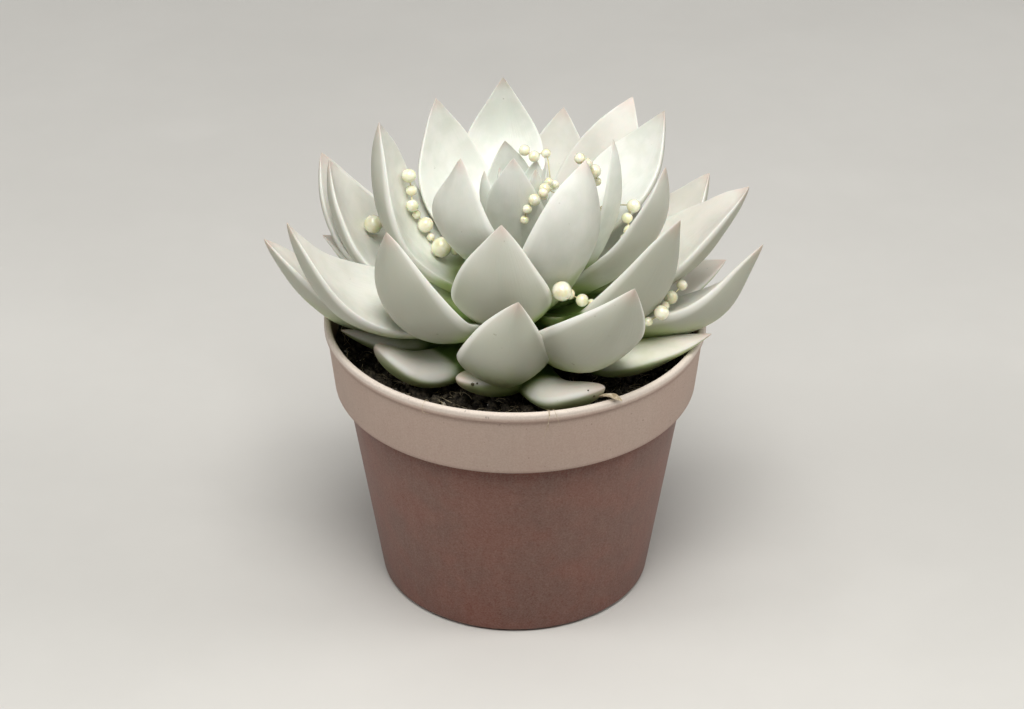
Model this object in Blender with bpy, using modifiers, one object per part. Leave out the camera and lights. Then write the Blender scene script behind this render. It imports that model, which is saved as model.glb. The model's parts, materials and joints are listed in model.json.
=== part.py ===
"""Potted miranda echeveria: a rosette of thick pointed leaves in a round plastic pot, with pearl strands.

The origin is the centre of the pot's underside, +Z is up, and -Y is the front. Metres throughout.
"""

import math
import random

import bmesh
import bpy
import numpy as np
from mathutils import Vector
from mathutils.bvhtree import BVHTree

OBJECT_NAME = "potted_miranda_echeveria"
MM = 0.001

# Pot: the rim and collar are read from the photograph, the hidden lower part is that of a usual 12 cm pot
POT_HEIGHT = 0.092
LIP_RADIUS = 0.060
LIP_HEIGHT = 0.003
LIP_PROUD = 0.0008
COLLAR_HEIGHT = 0.0231
COLLAR_BOTTOM_RADIUS = 0.0570
BODY_TOP_RADIUS = 0.0535
BASE_RADIUS = 0.0430
BASE_CHAMFER = 0.0012
POT_WALL = 0.0013
FLOOR_THICKNESS = 0.0022
FOOT_RECESS = 0.0012
FOOT_RING_WIDTH = 0.005
BASE_BOSS_RADIUS = 0.014
LEDGE_ROUND = 0.0008
FLARE = 0.002
RIM_BEVEL = 0.0007
POT_STEPS = 56

DRAIN_HOLES = 8
DRAIN_HOLE_RADIUS = 0.0035
DRAIN_RING_RADIUS = 0.026
DRAIN_SIDES = 12

# Soil: its drop below the rim at the wall, how much lower it lies under the leaves, and its soft lumps
SOIL_DROP = 0.0092
SOIL_DISH = 0.0041
SOIL_DISH_RADIUS = 0.044
SOIL_RELIEF = 0.0003
GAP = 0.0003
SOIL_STEPS = 36
SOIL_RINGS = 6

# Stem, which stands in a plain hole in the soil
STEM_RADIUS = 0.0065
STEM_DEPTH = 0.030
STEM_RISE = 0.022
STEM_TOP_RADIUS = 0.0035
STEM_BEVEL = 0.001
STEM_SIDES = 10
STEM_HOLE_GAP = 0.0004

# Rosette: leaf 0 is the oldest and lowest, the last one is the heart, and age runs from 0 to 1 between them
LEAF_COUNT = 44
FIRST_LEAF_DEG = 32.5
GOLDEN_ANGLE_DEG = -137.508
HEART_LEAN = (3.0 * MM, 2.0 * MM)
WOBBLE_SEED = 12
TURN_WOBBLE_DEG = 3.0
ROLL_WOBBLE_DEG = 5.0

# How a leaf changes with its age: tip reach from the axis and tip rise over the rim, width, thickness,
# the slopes of its midline at the root and at the tip, the root's rise, and how deep its upper face is dished
AGES = (0.0, 0.12, 0.30, 0.50, 0.70, 0.85, 1.0)
TIP_REACH_MM = (48, 66, 73, 64, 33, 17, 5)
TIP_RISE_MM = (2, 7, 36, 45, 60, 62, 50)
WIDTH_MM = (17, 24, 30, 31, 27, 17, 5)
THICKNESS_MM = (6.5, 6.5, 6.5, 6.0, 5.0, 3.2, 1.6)
ROOT_SLOPE_DEG = (2, -4, -6, 2, 34, 62, 82)
TIP_SLOPE_DEG = (14, 34, 70, 82, 88, 92, 88)
ROOT_RISE_MM = (-6, -4, -2, 3, 10, 16, 21)
TROUGH = (0.06, 0.34, 0.44, 0.40, 0.36, 0.32, 0.30)

# Leaves whose tips the photograph shows, as direction in degrees, reach and rise over the rim in mm
SEEN_TIPS = {
    1: (246, 43, 0), 3: (341, 64, 5), 4: (192, 55, 1), 6: (300, 54, 2), 7: (150, 72, 8), 8: (14, 69, 12),
    9: (209, 49, 2), 11: (345, 78, 36), 12: (183, 77, 29), 13: (58, 70, 46), 14: (268, 52, 34),
    15: (148, 73, 37), 16: (357, 71, 48), 17: (200, 73, 46), 18: (76, 66, 41), 19: (302, 70, 43),
    20: (163, 60, 45), 21: (17, 64, 40), 22: (226, 55, 51), 23: (106, 58, 34), 24: (327, 59, 51),
    25: (172, 42, 65), 26: (33, 56, 56), 27: (264, 36, 52), 28: (128, 41, 59), 29: (343, 48, 60),
    30: (229, 25, 65), 31: (94, 48, 59), 32: (316, 29, 66), 33: (178, 18, 59), 34: (8, 30, 60),
    35: (268, 17, 64), 37: (340, 23, 58),
}
OTHER_WIDTHS_MM = {1: 15, 4: 11, 6: 15, 9: 17, 14: 28, 22: 32, 25: 34, 27: 34, 32: 30}
BLUNT_LEAVES = (1, 6, 9)
# How far the middle of a leaf swings to its left
SIDE_SWEEPS_MM = {1: 14, 3: -8, 6: -14, 9: 12, 14: -6, 27: -4}
# Low leaves that reach over the rim lie straighter: slopes at the root and at the tip
STRAIGHT_LEAVES_DEG = {3: (8, 8), 5: (6, 12), 7: (8, 12), 8: (4, 24), 12: (0, 52)}

# A leaf's own shape, as shares of the stem's radius, its length, half width and thickness
ROOT_INSET = 0.4
WIDEST_AT = 0.58
ROOT_WIDTH = 0.42
ROOT_REACH = 0.56
TIP_REACH = 0.34
KEEL = 0.30
LEAF_STATIONS = (0.0, 0.16, 0.34, 0.52, 0.68, 0.82, 0.93)
HEART_STATIONS = (0.0, 0.30, 0.60, 0.85)
HEART_AGE = 0.86
UPPER_ACROSS = (-1.0, -0.5, 0.0, 0.5, 1.0)
LOWER_ACROSS = (0.55, 0.0, -0.55)

# Pearl garland: pearls moulded on a thin cord, in four lengths laid among the leaves along hand-chosen
# points (x, y, rise over the rim) in mm
STRAND_ROUTES_MM = {
    "pearl_strand_front": (
        (-31, 15, 47), (-32, 13, 43), (-32, 11, 38), (-32, 8, 34), (-31, 7, 31), (-28, 7, 28), (-27, 5, 25),
        (-23, 6, 22), (-21, 5, 21), (-21, -1, 21), (-17, -7, 21), (-17, -13, 19), (-15, -17, 18),
        (-15, -22, 18), (-9, -28, 18), (-5, -28, 15), (3, -25, 15), (12, -16, 16), (14, -12, 16),
        (18, -12, 14), (20, -16, 15),
    ),
    "pearl_strand_back": (
        (45, -15, 9), (48, -18, 15), (49, -19, 18), (49, -19, 24), (49, -16, 25), (51, -6, 18), (49, -4, 18),
        (39, -4, 18), (34, -1, 22), (34, 5, 28), (36, 17, 28), (34, 21, 28), (28, 26, 28), (22, 26, 28),
        (19, 29, 28), (15, 29, 30), (9, 36, 31), (8, 40, 31), (-3, 41, 30), (-8, 39, 31), (-11, 36, 31),
        (-19, 36, 31), (-27, 27, 28), (-33, 27, 24), (-44, 18, 24), (-45, 15, 22),
    ),
    "pearl_strand_inner": (
        (4, -22, 44), (4, -21, 52), (9, -18, 52), (12, -15, 51), (10, -10, 49), (12, -4, 51), (14, -2, 51),
    ),
    "pearl_strand_heart": (
        (22, -13, 61), (22, -7, 63), (19, -6, 57), (18, 0, 51), (12, 6, 52), (9, 9, 53), (6, 11, 52),
        (2, 11, 52),
    ),
}
PEARL_SIZES_MM = (4.2, 3.0, 4.2, 3.0, 4.2, 5.8, 3.0)
MOST_PEARLS = 120
PEARL_SPACE = 0.0006
CORD_RADIUS = 0.0004
# A pearl along the cord: places from its centre and widths, both as shares of its radius
PEARL_PROFILE = ((-0.98, 0.0), (-0.56, 0.82), (0.56, 0.82), (0.98, 0.0))

# How the pearls settle on the leaves
PEARL_CLEARANCE = 0.00035
ROUTE_PULL = 0.04
LEAF_PULL = 0.0002
SETTLE_ROUNDS = 260
CLEARING_ROUNDS = 60
ROUTE_STEPS = 24
PROBE = Vector((0.013, 0.021, 1.0)).normalized()


def material(name, color, roughness, metallic=0.0):
    """A Principled material in one colour."""
    made = bpy.data.materials.new(name)
    made.use_nodes = True
    shader = made.node_tree.nodes["Principled BSDF"]
    shader.inputs["Base Color"].default_value = (*color, 1.0)
    shader.inputs["Roughness"].default_value = roughness
    shader.inputs["Metallic"].default_value = metallic
    return made


def add_mesh(name, points, faces, collection):
    """A new object with a mesh made of the given points and faces."""
    mesh = bpy.data.meshes.new(name)
    mesh.from_pydata([tuple(p) for p in points], [], faces)
    made = bpy.data.objects.new(name, mesh)
    collection.objects.link(made)
    return made


def applied(source, name, collection):
    """A plain mesh object that holds what the source shows with its modifiers; the source is removed."""
    view = bpy.context.evaluated_depsgraph_get()
    mesh = bpy.data.meshes.new_from_object(source.evaluated_get(view))
    made = bpy.data.objects.new(name, mesh)
    made.matrix_world = source.matrix_world
    bpy.data.objects.remove(source)
    made.name = name
    collection.objects.link(made)
    return made


def turned(name, profile, steps, collection):
    """A closed solid turned about Z from a profile of (radius, height), outer side first, top to bottom."""
    edges = [(k, k + 1) for k in range(len(profile) - 1)]
    mesh = bpy.data.meshes.new(name)
    mesh.from_pydata([(r, 0.0, z) for r, z in profile], edges, [])
    made = bpy.data.objects.new(name, mesh)
    collection.objects.link(made)
    screw = made.modifiers.new("Turn", "SCREW")
    screw.steps = screw.render_steps = steps
    screw.use_merge_vertices = True
    screw.merge_threshold = 0.00001
    return applied(made, name, collection)


def cut(target, cutter):
    """A live Boolean that takes the cutter out of the target."""
    boolean = target.modifiers.new("Cut", "BOOLEAN")
    boolean.operation = "DIFFERENCE"
    boolean.object = cutter


def largest_piece(target):
    """Drops loose scraps and the walls of sealed hollows, so that one closed body is left."""
    work = bmesh.new()
    work.from_mesh(target.data)
    bmesh.ops.remove_doubles(work, verts=work.verts, dist=1e-6)
    left = set(work.verts)
    pieces = []
    while left:
        piece = set()
        front = [left.pop()]
        while front:
            vert = front.pop()
            piece.add(vert)
            for edge in vert.link_edges:
                other = edge.other_vert(vert)
                if other in left:
                    left.remove(other)
                    front.append(other)
        pieces.append(piece)
    pieces.sort(key=len)
    for piece in pieces[:-1]:
        bmesh.ops.delete(work, geom=list(piece), context="VERTS")
    bmesh.ops.recalc_face_normals(work, faces=work.faces)
    work.to_mesh(target.data)
    work.free()


def fused(base, repeats, name, collection):
    """Joins every object of the repeats' collection to the base in one Boolean union, applied."""
    union = base.modifiers.new("Fuse", "BOOLEAN")
    union.operation = "UNION"
    union.operand_type = "COLLECTION"
    union.collection = repeats
    made = applied(base, name, collection)
    for member in list(repeats.objects):
        bpy.data.objects.remove(member)
    bpy.data.collections.remove(repeats)
    largest_piece(made)
    return made


def arc(centre, radius, start_deg, end_deg, count):
    """Points on an arc in the profile's plane, from the start angle to the end angle."""
    angles = np.radians(np.linspace(start_deg, end_deg, count))
    return [(centre[0] + radius * math.cos(a), centre[1] + radius * math.sin(a)) for a in angles]


def inner_radius(height):
    """The pot wall's inner radius at a height: on the body's taper, or above the ledge on the collar's."""
    ledge = POT_HEIGHT - COLLAR_HEIGHT
    if height <= ledge:
        share = height / ledge
        return BASE_RADIUS + share * (BODY_TOP_RADIUS - BASE_RADIUS) - POT_WALL
    share = (height - ledge) / COLLAR_HEIGHT
    return COLLAR_BOTTOM_RADIUS + share * (LIP_RADIUS - LIP_PROUD - COLLAR_BOTTOM_RADIUS) - POT_WALL


def build_pot(collection, cutters):
    """The pot: rolled lip, straight collar, ledge, tapered body, and recessed base with drainage holes."""
    ledge = POT_HEIGHT - COLLAR_HEIGHT
    lip_half = LIP_HEIGHT / 2
    collar_top = LIP_RADIUS - LIP_PROUD
    inner_top = inner_radius(POT_HEIGHT)
    lip_round = lip_half * 0.9
    outside = arc((LIP_RADIUS - lip_round, POT_HEIGHT - lip_round), lip_round, 90, 0, 4)
    outside += arc((LIP_RADIUS - lip_round, POT_HEIGHT - LIP_HEIGHT + lip_round), lip_round, 0, -60, 3)
    outside += [
        (collar_top, POT_HEIGHT - LIP_HEIGHT),
        (COLLAR_BOTTOM_RADIUS, ledge + LEDGE_ROUND),
        (COLLAR_BOTTOM_RADIUS - LEDGE_ROUND, ledge),
        (BODY_TOP_RADIUS + LEDGE_ROUND, ledge),
        (BODY_TOP_RADIUS, ledge - LEDGE_ROUND),
        (BASE_RADIUS, BASE_CHAMFER),
        (BASE_RADIUS - BASE_CHAMFER, 0.0),
    ]
    underside = [
        (BASE_RADIUS - FOOT_RING_WIDTH, 0.0),
        (BASE_RADIUS - FOOT_RING_WIDTH - FOOT_RECESS, FOOT_RECESS),
        (BASE_BOSS_RADIUS + FOOT_RECESS, FOOT_RECESS),
        (BASE_BOSS_RADIUS, 0.0),
        (0.0, 0.0),
    ]
    floor = FLOOR_THICKNESS + FOOT_RECESS
    inside = [
        (0.0, floor),
        (inner_radius(floor), floor),
        (inner_radius(ledge - FLARE), ledge - FLARE),
        (inner_radius(ledge + FLARE), ledge + FLARE),
        (inner_top, POT_HEIGHT - RIM_BEVEL),
        (inner_top + RIM_BEVEL, POT_HEIGHT),
    ]
    profile = outside + underside + inside
    pot = turned("pot", profile + [profile[0]], POT_STEPS, collection)
    for k in range(DRAIN_HOLES):
        turn = 2 * math.pi * (k + 0.5) / DRAIN_HOLES
        place = (DRAIN_RING_RADIUS * math.cos(turn), DRAIN_RING_RADIUS * math.sin(turn), floor / 2)
        bpy.ops.mesh.primitive_cylinder_add(
            vertices=DRAIN_SIDES, radius=DRAIN_HOLE_RADIUS, depth=2 * floor, location=place)
        hole = bpy.context.object
        hole.name = f"drain_hole_{k + 1}"
        hole.hide_render = True
        hole.display_type = "WIRE"
        for owner in list(hole.users_collection):
            owner.objects.unlink(hole)
        cutters.objects.link(hole)
        cut(pot, hole)
    pot.data.shade_smooth()
    pot.data.set_sharp_from_angle(angle=math.radians(35))
    pot.data.materials.append(material("pot_plastic", (0.52, 0.38, 0.31), 0.55))
    return pot


def leaf_width(along, blunt):
    """Half width as a share of its largest: a neck at the root, a full belly, then a point or a blunt end."""
    before = ROOT_WIDTH + (1 - ROOT_WIDTH) * np.sin(0.5 * np.pi * np.clip(along / WIDEST_AT, 0, 1)) ** 1.3
    after = np.clip((along - WIDEST_AT) / (1 - WIDEST_AT), 0, 1)
    end = (1 - after**2.6) ** 0.6 if blunt else (1 - after**1.8) ** 1.2
    return np.where(along < WIDEST_AT, before, end)


def leaf_thickness(along):
    """Thickness as a share of its largest: plump to past the middle, thin at the point."""
    return (0.80 + 0.20 * np.sin(np.pi * along)) * (1 - np.clip(along, 0, 1) ** 4) ** 0.8


def leaf_section(along, across, lower, half_width, thickness, trough, blunt):
    """A leaf's sideways and upward offsets at one place.

    The upper face is a shallow trough. The lower face bulges under it, with a keel down the middle.
    """
    half = half_width * leaf_width(along, blunt)
    dip = trough * half * across**2
    bulge = np.sqrt(np.clip(1 - across**2, 0, 1)) * (1 - KEEL + KEEL * (1 - np.abs(across)))
    return half * across, dip - lower * thickness * leaf_thickness(along) * bulge


class Leaf:
    """One leaf: where its root and tip are, how it rises, and how wide and thick it is."""

    def __init__(self, number, wobble):
        """Works the leaf out from its number: its age sets its size, the golden angle its direction."""
        age = number / (LEAF_COUNT - 1)
        self.age = age
        turn = FIRST_LEAF_DEG + GOLDEN_ANGLE_DEG * number + wobble.uniform(-TURN_WOBBLE_DEG, TURN_WOBBLE_DEG)
        self.roll = math.radians(wobble.uniform(-ROLL_WOBBLE_DEG, ROLL_WOBBLE_DEG))
        reach, rise = self.by_age(TIP_REACH_MM) * MM, self.by_age(TIP_RISE_MM) * MM
        centre = np.array(HEART_LEAN) * age
        middle = centre
        if number in SEEN_TIPS:
            turn, reach, rise = SEEN_TIPS[number][0], SEEN_TIPS[number][1] * MM, SEEN_TIPS[number][2] * MM
            middle = np.zeros(2)
        outward = np.array((math.cos(math.radians(turn)), math.sin(math.radians(turn))))
        tip = middle + reach * outward
        away = (tip - centre) / np.linalg.norm(tip - centre)
        root = centre + ROOT_INSET * self.stem_radius() * away
        self.root = np.array((*root, POT_HEIGHT + self.by_age(ROOT_RISE_MM) * MM))
        self.tip = np.array((*tip, POT_HEIGHT + rise))
        self.away = np.array((*away, 0.0))
        self.side = np.array((-away[1], away[0], 0.0))
        self.half_width = OTHER_WIDTHS_MM.get(number, self.by_age(WIDTH_MM)) * MM / 2
        self.thickness = self.by_age(THICKNESS_MM) * MM
        slopes = STRAIGHT_LEAVES_DEG.get(number, (self.by_age(ROOT_SLOPE_DEG), self.by_age(TIP_SLOPE_DEG)))
        self.slopes = math.radians(slopes[0]), math.radians(slopes[1])
        self.blunt = number in BLUNT_LEAVES
        self.sweep = SIDE_SWEEPS_MM.get(number, 0.0) * MM

    def by_age(self, values):
        """A value between the ones listed for AGES."""
        return float(np.interp(self.age, AGES, values))

    def stem_radius(self):
        """The stem's radius where this leaf grows."""
        return STEM_RADIUS + self.age * (STEM_TOP_RADIUS - STEM_RADIUS)

    def surface(self, along, across, lower):
        """Points on the leaf: along runs root to tip, across edge to edge, lower is 1 on the underside.

        The midline is a cubic curve in the upright plane through root and tip, with the slopes given by age.
        """
        along, across, lower = np.broadcast_arrays(along, across, lower)
        reach = float(np.dot(self.tip - self.root, self.away))
        rise = self.tip[2] - self.root[2]
        chord = math.hypot(reach, rise)
        first, last = self.slopes
        knots = np.array((
            (0.0, 0.0),
            (ROOT_REACH * chord * math.cos(first), ROOT_REACH * chord * math.sin(first)),
            (reach - TIP_REACH * chord * math.cos(last), rise - TIP_REACH * chord * math.sin(last)),
            (reach, rise),
        ))
        u = along[..., None]
        line = ((1 - u) ** 3 * knots[0] + 3 * (1 - u) ** 2 * u * knots[1]
                + 3 * (1 - u) * u**2 * knots[2] + u**3 * knots[3])
        slope = ((1 - u) ** 2 * (knots[1] - knots[0]) + 2 * (1 - u) * u * (knots[2] - knots[1])
                 + u**2 * (knots[3] - knots[2]))
        slope /= np.linalg.norm(slope, axis=-1, keepdims=True)
        upward = -slope[..., 1:] * self.away + slope[..., :1] * np.array((0.0, 0.0, 1.0))
        sideways, lift = leaf_section(
            along, across, lower, self.half_width, self.thickness, self.by_age(TROUGH), self.blunt)
        cos, sin = math.cos(self.roll), math.sin(self.roll)
        side = cos * self.side + sin * upward
        normal = cos * upward - sin * self.side
        middle = self.root + line[..., :1] * self.away + line[..., 1:] * np.array((0.0, 0.0, 1.0))
        middle = middle + 3 * u * (1 - u) * self.sweep * self.side
        return middle + sideways[..., None] * side + lift[..., None] * normal

    def add_to(self, collection, name):
        """A few-sided closed solid of the leaf, as rings from the root to the point."""
        stations = LEAF_STATIONS if self.age < HEART_AGE else HEART_STATIONS
        across = np.array(UPPER_ACROSS + LOWER_ACROSS)
        lower = np.array((0.0,) * len(UPPER_ACROSS) + (1.0,) * len(LOWER_ACROSS))
        sides = len(across)
        rings = self.surface(np.array(stations)[:, None], across[None, :], lower[None, :])
        points = [*rings.reshape(-1, 3), self.surface(1.0, 0.0, 0.0)]
        faces = [tuple(range(sides))]
        for ring in range(len(stations) - 1):
            for k in range(sides):
                a, b = ring * sides + k, ring * sides + (k + 1) % sides
                faces.append((a, a + sides, b + sides, b))
        last = (len(stations) - 1) * sides
        faces += [(last + k, len(points) - 1, last + (k + 1) % sides) for k in range(sides)]
        return add_mesh(name, points, faces, collection)


def build_rosette(collection):
    """The plant: a short tapered stem and its spiral of leaves, fused into one body."""
    wobble = random.Random(WOBBLE_SEED)
    leaves = bpy.data.collections.new("rosette_leaves")
    bpy.context.scene.collection.children.link(leaves)
    for number in range(LEAF_COUNT):
        Leaf(number, wobble).add_to(leaves, f"leaf_{number:02d}")
    lean = Vector(HEART_LEAN)
    bottom, top = POT_HEIGHT - STEM_DEPTH, POT_HEIGHT + STEM_RISE
    profile = [
        (0.0, top),
        (STEM_TOP_RADIUS, top - STEM_BEVEL),
        (STEM_RADIUS, POT_HEIGHT - STEM_BEVEL),
        (STEM_RADIUS, bottom + STEM_BEVEL),
        (STEM_RADIUS - STEM_BEVEL, bottom),
        (0.0, bottom),
    ]
    stem = turned("stem", profile, STEM_SIDES, collection)
    for vert in stem.data.vertices:
        share = max(0.0, (vert.co.z - POT_HEIGHT) / STEM_RISE)
        vert.co.x += lean.x * share
        vert.co.y += lean.y * share
    rosette = fused(stem, leaves, "rosette", collection)
    rosette.data.materials.append(material("leaf", (0.66, 0.69, 0.60), 0.5))
    return rosette


def along_route(route, spacings):
    """Points along a smooth curve through the route, the given distances apart."""
    knots = np.array(route, float) * MM + np.array((0.0, 0.0, POT_HEIGHT))
    ahead = np.vstack((2 * knots[0] - knots[1], knots, 2 * knots[-1] - knots[-2]))
    u = np.linspace(0, 1, ROUTE_STEPS, endpoint=False)[:, None]
    dense = []
    for a, b, c, d in zip(ahead, ahead[1:], ahead[2:], ahead[3:]):
        dense.append(0.5 * (2 * b + (c - a) * u + (2 * a - 5 * b + 4 * c - d) * u**2
                            + (3 * b - 3 * c + d - a) * u**3))
    dense = np.vstack((*dense, knots[-1:]))
    length = np.concatenate(((0.0,), np.cumsum(np.linalg.norm(np.diff(dense, axis=0), axis=1))))
    places = np.concatenate(((0.0,), np.cumsum(spacings)))
    places = places[places <= length[-1]]
    return np.stack([np.interp(places, length, dense[:, k]) for k in range(3)], axis=1)


def distance_out(tree, point):
    """How far a point is outside a closed surface, negative inside, with the unit vector that leads outwards.

    A ray from the point crosses the surface an odd number of times when the point is inside.
    """
    spot, _, _, distance = tree.find_nearest(Vector(point))
    start, outside = Vector(point), 1.0
    hit = tree.ray_cast(start, PROBE)[0]
    while hit is not None:
        outside = -outside
        hit = tree.ray_cast(hit + PROBE * 1e-6, PROBE)[0]
    return outside * distance, outside * (np.array(point) - np.array(spot)) / max(distance, 1e-9)


def settled(route, tree):
    """Pearl centres and radii along a route, each just clear of the leaf that it lies on.

    Every round pulls each pearl a little towards its place on the route and towards the nearest leaf,
    keeps neighbours their spacing apart, and pushes pearls and cord out of the leaves.
    """
    sizes = np.array([PEARL_SIZES_MM[k % len(PEARL_SIZES_MM)] for k in range(MOST_PEARLS)]) * MM / 2
    spacings = sizes[:-1] + sizes[1:] + PEARL_SPACE
    guide = along_route(route, spacings)
    radii, spacings = sizes[: len(guide)], spacings[: len(guide) - 1]
    places = guide.copy()
    for step in range(SETTLE_ROUNDS + CLEARING_ROUNDS):
        settling = step < SETTLE_ROUNDS
        if settling:
            places += ROUTE_PULL * (guide - places)
            for k, wanted in enumerate(spacings):
                apart = places[k + 1] - places[k]
                length = np.linalg.norm(apart)
                shift = 0.5 * (length - wanted) * apart / length
                places[k] += shift
                places[k + 1] -= shift
        for k, radius in enumerate(radii):
            out, away = distance_out(tree, places[k])
            short = radius + PEARL_CLEARANCE - out
            if short > 0:
                places[k] += short * away
            elif settling:
                places[k] += max(short, -LEAF_PULL) * away
        for k in range(len(places) - 1):
            out, away = distance_out(tree, 0.5 * (places[k] + places[k + 1]))
            short = CORD_RADIUS + PEARL_CLEARANCE - out
            if short > 0:
                places[k] += short * away
                places[k + 1] += short * away
    return places, radii


def build_strand(name, route, tree, collection):
    """One garland: a thin tube that swells into a pearl at each settled place.

    The bevel depth is one metre, so that each point's radius is the tube's own radius there.
    """
    places, radii = settled(route, tree)
    steps = np.diff(places, axis=0)
    steps = steps / np.linalg.norm(steps, axis=1)[:, None]
    along = np.vstack((steps[:1], steps[:-1] + steps[1:], steps[-1:]))
    along = along / np.linalg.norm(along, axis=1)[:, None]
    points = []
    for place, radius, axis in zip(places, radii, along):
        for shift, width in PEARL_PROFILE:
            points.append((place + shift * radius * axis, max(width * radius, CORD_RADIUS)))
    curve = bpy.data.curves.new(name + "_path", "CURVE")
    curve.dimensions = "3D"
    curve.bevel_depth = 1.0
    curve.bevel_resolution = 1
    curve.use_fill_caps = True
    spline = curve.splines.new("POLY")
    spline.points.add(len(points) - 1)
    for point, (place, width) in zip(spline.points, points):
        point.co = (*place, 1.0)
        point.radius = width
    line = bpy.data.objects.new(name + "_path", curve)
    collection.objects.link(line)
    strand = applied(line, name, collection)
    work = bmesh.new()
    work.from_mesh(strand.data)
    bmesh.ops.remove_doubles(work, verts=work.verts, dist=1e-6)
    bmesh.ops.recalc_face_normals(work, faces=work.faces)
    work.to_mesh(strand.data)
    work.free()
    strand.data.materials.clear()
    strand.data.materials.append(material(name + "_pearl", (0.80, 0.76, 0.55), 0.25))
    return strand


def soil_height(x, y):
    """The soil's level: dished, lower under the leaves than at the wall, with soft lumps."""
    lumps = math.sin(210 * x + 1.1) * math.cos(170 * y - 0.4) + 0.6 * math.sin(390 * x - 260 * y)
    slope = inner_radius(POT_HEIGHT - SOIL_DROP) - SOIL_DISH_RADIUS
    share = min(max((math.hypot(x, y) - SOIL_DISH_RADIUS) / slope, 0), 1)
    return POT_HEIGHT - SOIL_DROP - SOIL_DISH * (1 - share) + SOIL_RELIEF * lumps


def build_soil(collection):
    """The growing mix: it fills the pot to just under the lip, with a plain hole for the stem."""
    floor = FLOOR_THICKNESS + FOOT_RECESS + GAP
    level = POT_HEIGHT - SOIL_DROP
    ledge = POT_HEIGHT - COLLAR_HEIGHT
    hole = STEM_RADIUS + STEM_HOLE_GAP
    hole_floor = POT_HEIGHT - STEM_DEPTH - GAP
    edge = inner_radius(level) - 2 * GAP
    rings = [hole + (edge - hole) * k / SOIL_RINGS for k in range(1, SOIL_RINGS)]
    profile = [(0.0, hole_floor), (hole, hole_floor), (hole, level)]
    profile += [(r, level) for r in rings] + [(edge, level)]
    profile += [
        (inner_radius(ledge + FLARE) - GAP, ledge + FLARE),
        (inner_radius(ledge - FLARE) - GAP, ledge - FLARE),
        (inner_radius(floor) - GAP, floor),
        (0.0, floor),
    ]
    soil = turned("soil", profile, SOIL_STEPS, collection)
    for vert in soil.data.vertices:
        if abs(vert.co.z - level) < 1e-6:
            vert.co.z = soil_height(vert.co.x, vert.co.y)
    soil.data.materials.append(material("soil", (0.05, 0.04, 0.035), 0.95))
    return soil


def build():
    """Clears the scene and builds the object in its own collection."""
    for old in list(bpy.data.objects):
        bpy.data.objects.remove(old)
    collection = bpy.data.collections.new(OBJECT_NAME)
    cutters = bpy.data.collections.new("cutters")
    bpy.context.scene.collection.children.link(collection)
    bpy.context.scene.collection.children.link(cutters)
    build_pot(collection, cutters)
    build_soil(collection)
    rosette = build_rosette(collection)
    tree = BVHTree.FromPolygons(
        [vert.co for vert in rosette.data.vertices], [face.vertices for face in rosette.data.polygons])
    for name, route in STRAND_ROUTES_MM.items():
        build_strand(name, route, tree, collection)


build()
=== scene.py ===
"""Looks of the potted miranda echeveria: a pale sprayed rosette with pearl strands in a dusty plastic pot.

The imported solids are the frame. Fine surfaces replace them in the same places: the leaves by the leaf rule,
the pot as a turned profile, the growing mix as a rough dished surface, and the pearls on their cords. A few dry
bits lie on the lip and on the leaves.
"""

import json
import logging
import math
import random
from collections.abc import Callable
from dataclasses import dataclass, field
from enum import Enum
from functools import reduce

import bmesh
import bpy
import numpy as np
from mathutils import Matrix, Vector
from mathutils.bvhtree import BVHTree

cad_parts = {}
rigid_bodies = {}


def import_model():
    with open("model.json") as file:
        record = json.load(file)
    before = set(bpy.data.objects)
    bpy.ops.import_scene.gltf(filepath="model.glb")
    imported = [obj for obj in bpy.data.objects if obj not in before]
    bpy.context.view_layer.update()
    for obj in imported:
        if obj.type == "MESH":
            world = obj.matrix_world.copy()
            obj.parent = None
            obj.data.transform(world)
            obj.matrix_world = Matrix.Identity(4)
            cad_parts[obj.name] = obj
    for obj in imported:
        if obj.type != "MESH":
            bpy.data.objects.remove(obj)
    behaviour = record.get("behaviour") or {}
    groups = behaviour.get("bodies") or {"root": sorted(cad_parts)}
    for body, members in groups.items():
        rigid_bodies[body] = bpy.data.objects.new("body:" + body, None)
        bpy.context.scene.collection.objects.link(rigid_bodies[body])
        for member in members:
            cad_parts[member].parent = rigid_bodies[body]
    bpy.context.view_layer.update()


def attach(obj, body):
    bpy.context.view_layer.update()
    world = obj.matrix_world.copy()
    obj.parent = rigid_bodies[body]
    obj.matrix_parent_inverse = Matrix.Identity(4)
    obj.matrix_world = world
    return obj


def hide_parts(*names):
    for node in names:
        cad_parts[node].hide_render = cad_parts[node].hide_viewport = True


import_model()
LOG = logging.getLogger("echeveria")

MM = 0.001
UP = np.array((0.0, 0.0, 1.0))
Array = np.ndarray
Socket = bpy.types.NodeSocket
Value = float | tuple[float, ...] | Socket


class Slot(Enum):
    """The record's material slots."""

    POT = "pot"
    SOIL = "soil"
    LEAF = "leaf"
    PEARL = "pearl"


def ink(red: int, green: int, blue: int) -> tuple[float, float, float, float]:
    """Turns a screen colour into the linear colour that a shader wants.

    Args:
        red, green, blue: The colour as it looks on a screen, each from 0 to 255.

    Returns:
        The linear colour with full alpha.
    """
    parts = [c / 255 for c in (red, green, blue)]
    return (*[c / 12.92 if c <= 0.04045 else ((c + 0.055) / 1.055) ** 2.4 for c in parts], 1.0)


def smooth(values: Array, low: float, high: float) -> Array:
    """Rises softly from 0 at low to 1 at high, as 3t squared minus 2t cubed.

    Args:
        values: What is measured.
        low: Where the rise starts.
        high: Where it ends.

    Returns:
        The share from 0 to 1 for each value.
    """
    t = np.clip((values - low) / (high - low), 0.0, 1.0)
    return t * t * (3 - 2 * t)


def unit(vectors: Array) -> Array:
    """Vectors brought to length one, with x, y and z in the last axis."""
    return vectors / np.linalg.norm(vectors, axis=-1, keepdims=True)


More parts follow.
